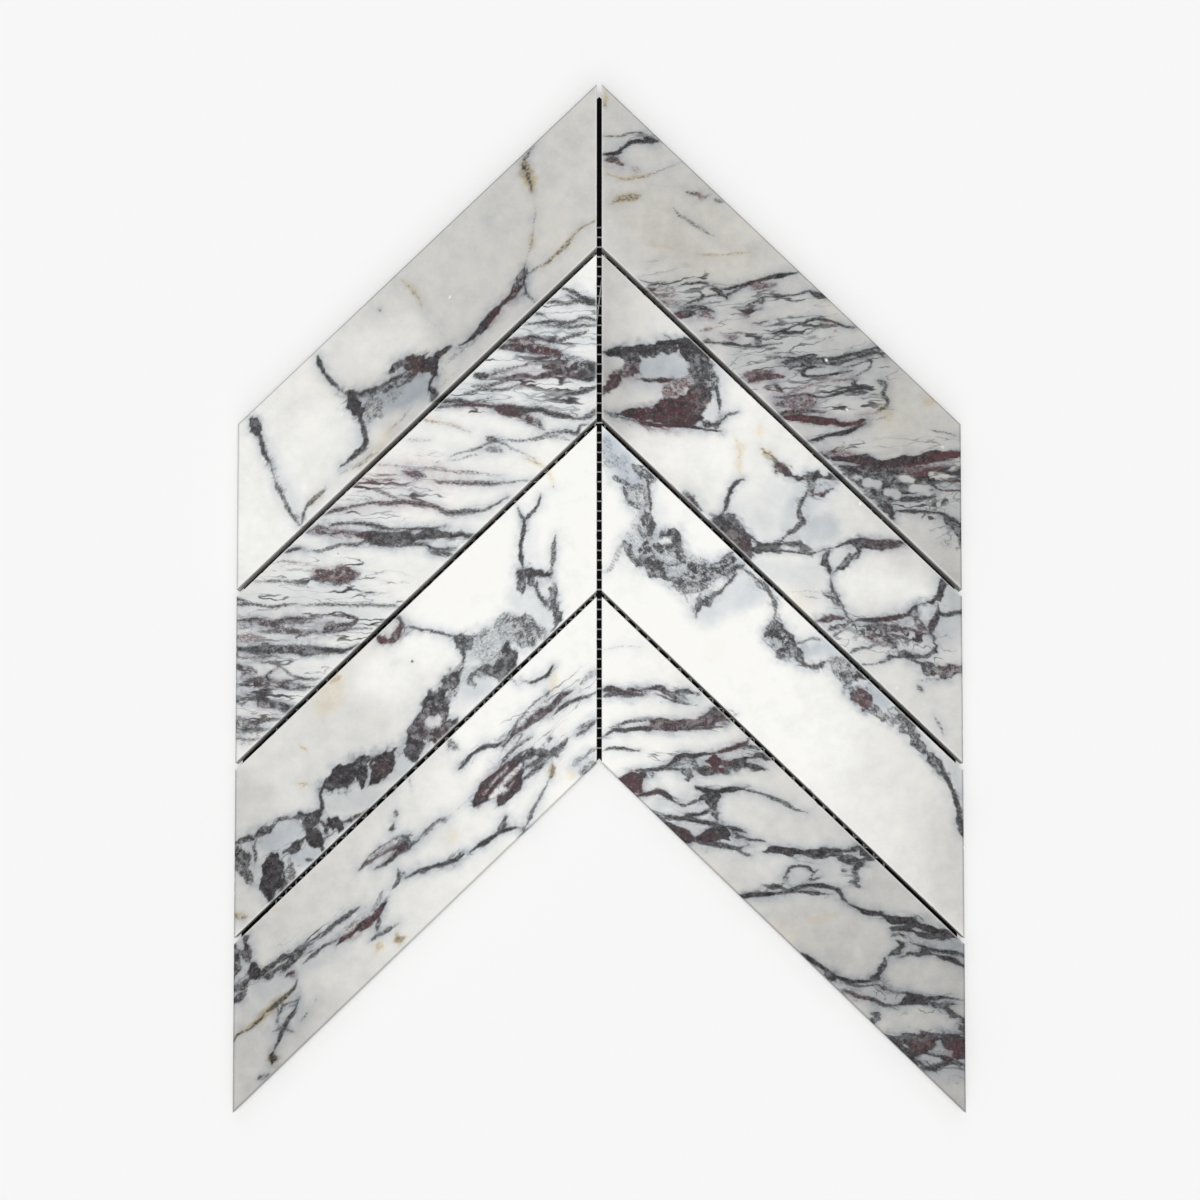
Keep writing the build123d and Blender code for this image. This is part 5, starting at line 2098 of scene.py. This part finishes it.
RIGHT_4 = """
white crown: LIGHT 16 .5 4,-10 22,-30
white middle: LIGHT 9 .3 20,-60 48,-58
grey outer half: SHADE 34 .35 92,-134 118,-160 138,-186
grey border: SHADE 14 .3 40,-106 66,-126 90,-146
streaks: STREAKS 7 .35 2,-40 30,-40
 STREAKS 10 .35 24,-67 60,-67
cells: CELLS 14 .6 122,-182 140,-184
blue veil: VEIL 6 .5 34,-82 24,-84
 VEIL 7 .6 30,-92 40,-94
 VEIL 7 .4 56,-100 48,-94
 VEIL 9 .5 76,-113 90,-110
 VEIL 6 .4 76,-118.5 90,-119
 VEIL 6 .8 126,-139 144,-141
 VEIL 8 .6 98,-157 116,-161
 VEIL 12 .6 120,-180 134,-186 142,-188
honey haze: STAIN 3 .5 83,-131 89,-129.6 93,-128.8
 STAIN 4 .3 70,-131 74,-131.4
whisper: HAIR 1 .4 2,-22.5 7.5,-22 11,-21.5 17,-21.6
first bar: PATCH 2.3 .95 -1,-39 3.8,-38.5 7.5,-40 11,-40.6 13.8,-39.6 17.5,-39.8
 PATCH 2.1 .9 16,-39.4 21,-38.8 25,-38.8 29,-40.3 32.5,-39.4 40,-40
 VEIN 1.6 .8 -1,-41 5,-41 12,-41.2 19,-40.6
 VEIN 1.2 .8 22,-40.4 25.6,-41.6 29,-43 34,-43.8 39,-44.8
 PATCH 2.2 .7 31,-42.6 33,-41.4 35,-40
second bar: VEIN 1.2 .8 4,-54 8.8,-52.5 12.5,-51.5 18,-51
 VEIN 2 .9 1,-57.6 6,-55.2 11,-55.6 16,-54.6 20,-54.4 24,-52.8
 PATCH 4.4 .9 20,-52.4 26,-52.7 32,-52.7 38,-52.4 44,-51.4 52,-50.8
 PATCH 3.2 .95 42,-49.6 46,-48 51,-48.6
 VEIN 1.6 .85 21,-54.8 31,-55 41,-54.4 51,-53.6
 HAIR 1.6 .5 48,-45 52,-46.6 54,-48
third line: VEIN 1.1 .85 1,-63.2 5,-62.4 10.6,-62.5 16,-63.2
fourth bar: VEIN 1.8 .95 27,-69 30.6,-66.3 33.8,-64.8 37.5,-65 41,-64.4 46,-64
 VEIN 1.9 .9 45,-64 50,-63 53.8,-61.9 56,-61.3 58.8,-60 60.4,-58.4
 VEIN 1.2 .8 55,-62.6 58.8,-61.6 62.5,-62 66,-62.8
knot: PATCH 2.4 .8 29,-69 33,-67 37,-67.6 40,-70.4
 PATCH 5.8 1 43.5,-67.6 47.5,-67.8
 PATCH 2.4 .95 48,-68.6 52,-68.2 56,-67.4 60,-66
 PATCH 2.4 .95 59,-66.2 64,-65.6 70,-66.8
 WINE 7 .9 43,-68 50,-68
fifth bar: PATCH 2.6 .9 37,-70.6 41,-71.4 45,-72 49,-71 53,-70
 PATCH 2.3 .95 52,-70.2 57.5,-69.2 62.5,-70.4 66,-71.2
collar: VEIN 1.4 .85 12,-71 18.8,-71 22.5,-70.6 26,-70 30,-70.4 34,-70
 PATCH 2.6 .85 33.6,-70.6 35.4,-73 36,-75
 PATCH 2.6 .8 19.4,-72 21.6,-72.4
border mass: PATCH 6.2 1 8,-74.6 12,-74.8 16.6,-73.4
 PATCH 5.6 1 13,-76 16,-78.6
 WINE 9 .95 10,-75 16,-77
border line: VEIN 1.8 .9 14,-81.6 18,-80.6 21,-79.8 24,-79.4 27,-81.3 31,-83.6
 VEIN 1.4 .8 31,-83.6 34,-84.4 37,-83.6 40,-82.6
cluster: PATCH 3 .95 40,-82.6 43,-81 46,-81.4 44.6,-84 46,-86.6
 PATCH 2.4 .9 34,-89.6 37.5,-88.8 41,-88 44,-86
 PATCH 2.6 .8 46,-86 46.4,-89.4 47,-93
long line: VEIN 1.9 .95 38.4,-78 42.5,-79 46,-79.4 50,-78.8 54,-78.5 58,-79
 VEIN 1.5 .75 57,-79 62.5,-80 67.5,-81.6 72,-83.6 77,-86.4 83,-88.4
border edge: PATCH 2 .8 20,-86.4 23,-89.4 27,-92
edge line: VEIN 1.9 .9 23,-89 30,-90 36,-90.4 41,-91.3 46,-92.8 51,-93.6
 VEIN 1.5 .85 50,-93.4 54,-94.4 59,-95.8
edge mass: PATCH 4.6 1 26.6,-92.6 30,-94.8 34,-97 38,-98.6
low mass: PATCH 5.2 1 40,-98.2 44,-97 48,-96.2 51,-98
 PATCH 3.4 .95 46,-93.4 47.6,-96
 VEIN 1.6 .85 52.6,-95.6 56,-97 60,-98.4 66,-99.6
 PATCH 2.2 .85 53,-95.8 56,-97.2
low bar: PATCH 2.2 .9 37,-99.4 43,-100 47.5,-100 52,-101.2 56,-101.4 59.6,-100.4
 VEIN 1.5 .75 54,-101.8 58,-103.8 61,-104.4
sixth bar: PATCH 2.9 1 66,-104.4 68.6,-103 72,-102.8 76,-103.4 80.6,-103.8
 PATCH 2.4 .95 79,-103.8 85,-104.4 89.4,-103.4 93,-102.2 98,-102.1 104,-101.4
 PATCH 2 .85 81.7,-105 87,-105.6 91.7,-105 96,-103.8
joint knot: PATCH 3.4 .95 103,-101.4 106,-103.4 108.4,-105.6 104,-106
joint spray: PATCH 4 .9 96,-105.4 100.6,-107 104,-108 101.7,-111
 PATCH 3.2 .75 101.7,-111 103,-114 100.4,-115.8
 PATCH 1.9 .75 96,-112 99.6,-111.4
loop: VEIN 1.3 .85 73,-114 75.4,-111.2 76.4,-109.6 79.4,-108.8 82.8,-109.7 85.6,-111.7 87,-110.6
 HAIR 1.2 .7 85.5,-111.6 84.6,-114.4 88.6,-113
 HAIR 1.6 .6 75,-111 74.4,-114 72,-117
seventh bar: PATCH 2.4 .9 65.6,-117 68,-117.8 71.7,-117.2 75,-118.3 79.4,-117.2 84,-116.7
 VEIN 1.6 .9 83,-116.8 88.3,-116.7 92.8,-117.8 95.6,-119 97,-121.7 100,-124.4
 VEIN 1.9 .95 99,-123.8 103.9,-126 107.8,-128 112.4,-129.4
 VEIN 1.4 .8 65,-120.6 71.7,-119.4 77,-119.4 82.8,-119.7 87,-120 93,-120.6
border dash: VEIN 2.2 1 55.6,-121.8 60,-120.4 64,-120.6 70,-119.8
great edge: PATCH 2.9 1 111,-128.3 116,-130 120.6,-130.8 125,-132.2 129.4,-133.3
 PATCH 2.9 1 123,-132 128,-133.2 134,-134.4 138.3,-135.8 146,-138.6
 PATCH 2.2 .95 115,-133.3 118.3,-134 121.7,-134 125,-135.2
 PATCH 2.2 .95 124,-135 128.3,-136.8 134,-136.8 140.6,-136.9
 PATCH 2.2 .85 116,-137 119.4,-136.2 121,-138
chain: PATCH 2.6 .9 118.9,-139.2 120.6,-141 117,-143.3 115.2,-144.4
 PATCH 2.4 .9 114.4,-145.6 112.8,-148.3 111,-150.6 110.6,-152.8 107,-154
channel line: VEIN 1.5 .9 123.4,-139.2 127,-141 131.7,-142.2 137,-142.8 141.7,-144 146,-145.2
channel foot: PATCH 1.9 .9 119,-145 124.4,-144.4 129.4,-143.6 134,-144.4
 PATCH 3 .95 127,-143.6 130.6,-143.2
 VEIN 2 .95 133,-144.2 137,-145.2 141,-146.2 145,-148.8
edge arc: VEIN 1.9 .95 80,-143.2 84,-146 87.2,-148.3 90.6,-150.6 94,-152.9
 PATCH 3.2 .9 90,-151.4 93.6,-153.4
 VEIN 1.7 .95 93,-152.6 98.3,-154.4 102.8,-154.7 107.2,-154.3 110.8,-153
eighth line: VEIN 1.6 .8 97,-155.4 104,-156.6 109.4,-156 112.8,-157.8 117,-158.8
 PATCH 2.5 .85 111,-156.4 114.4,-158.2
 VEIN 1.6 .85 116,-158.9 120.6,-159.4 125,-161 131.7,-161.7 138,-161.6 146,-162.6
ninth line: VEIN 1.6 .85 96,-158.8 99.4,-159.4 102.8,-161 107,-162 112.8,-163.9 118.3,-164.4
 WINE 3.6 .8 97,-159 106,-162.4
ninth bar: PATCH 3 1 119,-164 122,-162.8 126,-161.9 131,-162.6
 PATCH 2.2 .85 130,-162.4 135,-164.4 140.6,-164.2
 PATCH 2.3 .9 135,-164.6 139.4,-167.2 142.8,-168.9 146,-171.6
outer crumb: PATCH 3 .9 143,-172 145.4,-175
border hook: PATCH 2.3 .85 107.4,-167 110.6,-167.4 109.2,-169.6 107,-171.4
foot band: PATCH 3.4 .9 113,-176 118.3,-177.6 123,-176.9 128,-177.2 134,-175.8
 PATCH 3.4 .9 133,-176 137.2,-178 141.7,-178.2 146,-176.8
foot mass: PATCH 5 .95 123.6,-179.6 126.6,-181.4 130,-179.6 133,-177.8
 PATCH 5.4 1 137.6,-180.2 141.7,-179.6 144,-181.6 141.6,-184
 WINE 6 .7 124,-180 131,-179
 WINE 7 .7 139,-180 143,-183
foot edge: PATCH 3 .95 114.6,-177.2 118.3,-180 122.8,-184.2 127,-188.2
foot line: VEIN 1.7 .85 125,-182.4 131.7,-183.9 136,-185 140.6,-186.7 146,-188.6
foot curl: PATCH 2.1 .9 129,-190 133,-189.4 137.2,-187.8 140.6,-186.7 143,-188
foot loop: VEIN 1.5 .8 124,-184.4 127,-186.8 129.4,-189.6
tip speck: HAIR 1.4 .35 141,-194.8 142.4,-195.2
first bar wine: WINE 3 .35 4,-39.5 30,-40
second bar wine: WINE 5 .6 18,-54 30,-52.5 52,-50.5
fourth bar wine: WINE 4 .6 48,-63.5 60,-60
low mass wine: WINE 6 .45 28,-94 46,-97.5
ledge wine: WINE 4 .5 14,-80.6 26,-80
cells: CELLS 9 .3 98,-158 118,-162 136,-165
blue veil: VEIL 8 .35 98,-158 118,-160
"""


def show(piece: bpy.types.Object, node: str) -> None:
    """Puts a finished piece in the place of its CAD node and reports it.

    Args:
        piece: the piece.
        node: the CAD node that it stands for.
    """
    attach(piece, "root")
    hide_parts(node)
    LOG.info("%s stands for %s, %d faces", piece.name, node, len(piece.data.polygons))


# The last column's whiteness steps hold painted light and shade as well as the stone's own tone.
STONES = {
    "marble_left_1": (Mark.read(LEFT_1), 40.0, 1.5, (0.4, 0.33, 0.35, 0.42, 0.72, 0.85)),
    "marble_left_2": (Mark.read(LEFT_2), 0.0, 3.0, (0.88, 0.86, 0.84, 0.78, 0.7)),
    "marble_left_3": (Mark.read(LEFT_3), 40.0, 1.2, (1.0, 1.0, 0.85, 0.55, 0.58, 0.55)),
    "marble_left_4": (Mark.read(LEFT_4), 38.0, 2.4, (1.0, 0.9, 0.75, 0.55, 0.4, 0.3)),
    "marble_right_1": (Mark.read(RIGHT_1), 6.0, 2.8, (0.42, 0.39, 0.42, 0.4, 0.32, 0.22)),
    "marble_right_2": (Mark.read(RIGHT_2), -20.0, 1.3, (0.18, 0.62, 0.88, 0.75, 0.55, 0.45)),
    "marble_right_3": (Mark.read(RIGHT_3), -45.0, 1.2, (1.0, 1.0, 0.95, 0.85, 0.68, 0.5)),
    "marble_right_4": (Mark.read(RIGHT_4), -8.0, 2.4, (1.0, 0.75, 0.52, 0.44, 0.29, 0.1)),
}


def main() -> None:
    """Builds the sheet and its studio."""
    logging.basicConfig(level=logging.INFO, format="%(message)s")
    marble = VeinedMarble().make()
    for side, seed in (("left", 10), ("right", 50)):
        for row in range(1, 5):
            node = f"marble_{side}_{row}"
            stave = Stave(node, *STONES[node], seed=seed + row)
            show(stave.build(marble), node)
    net = GlassFibreNet().make()
    weave = NetWeave()
    for node in ("net_warp_threads", "net_weft_threads"):
        show(weave.build(node, net), node)
    studio = Studio()
    studio.camera()
    studio.floor()
    studio.joint_shade_card()
    studio.lights()
    studio.develop()


if __name__ == "__main__":
    main()
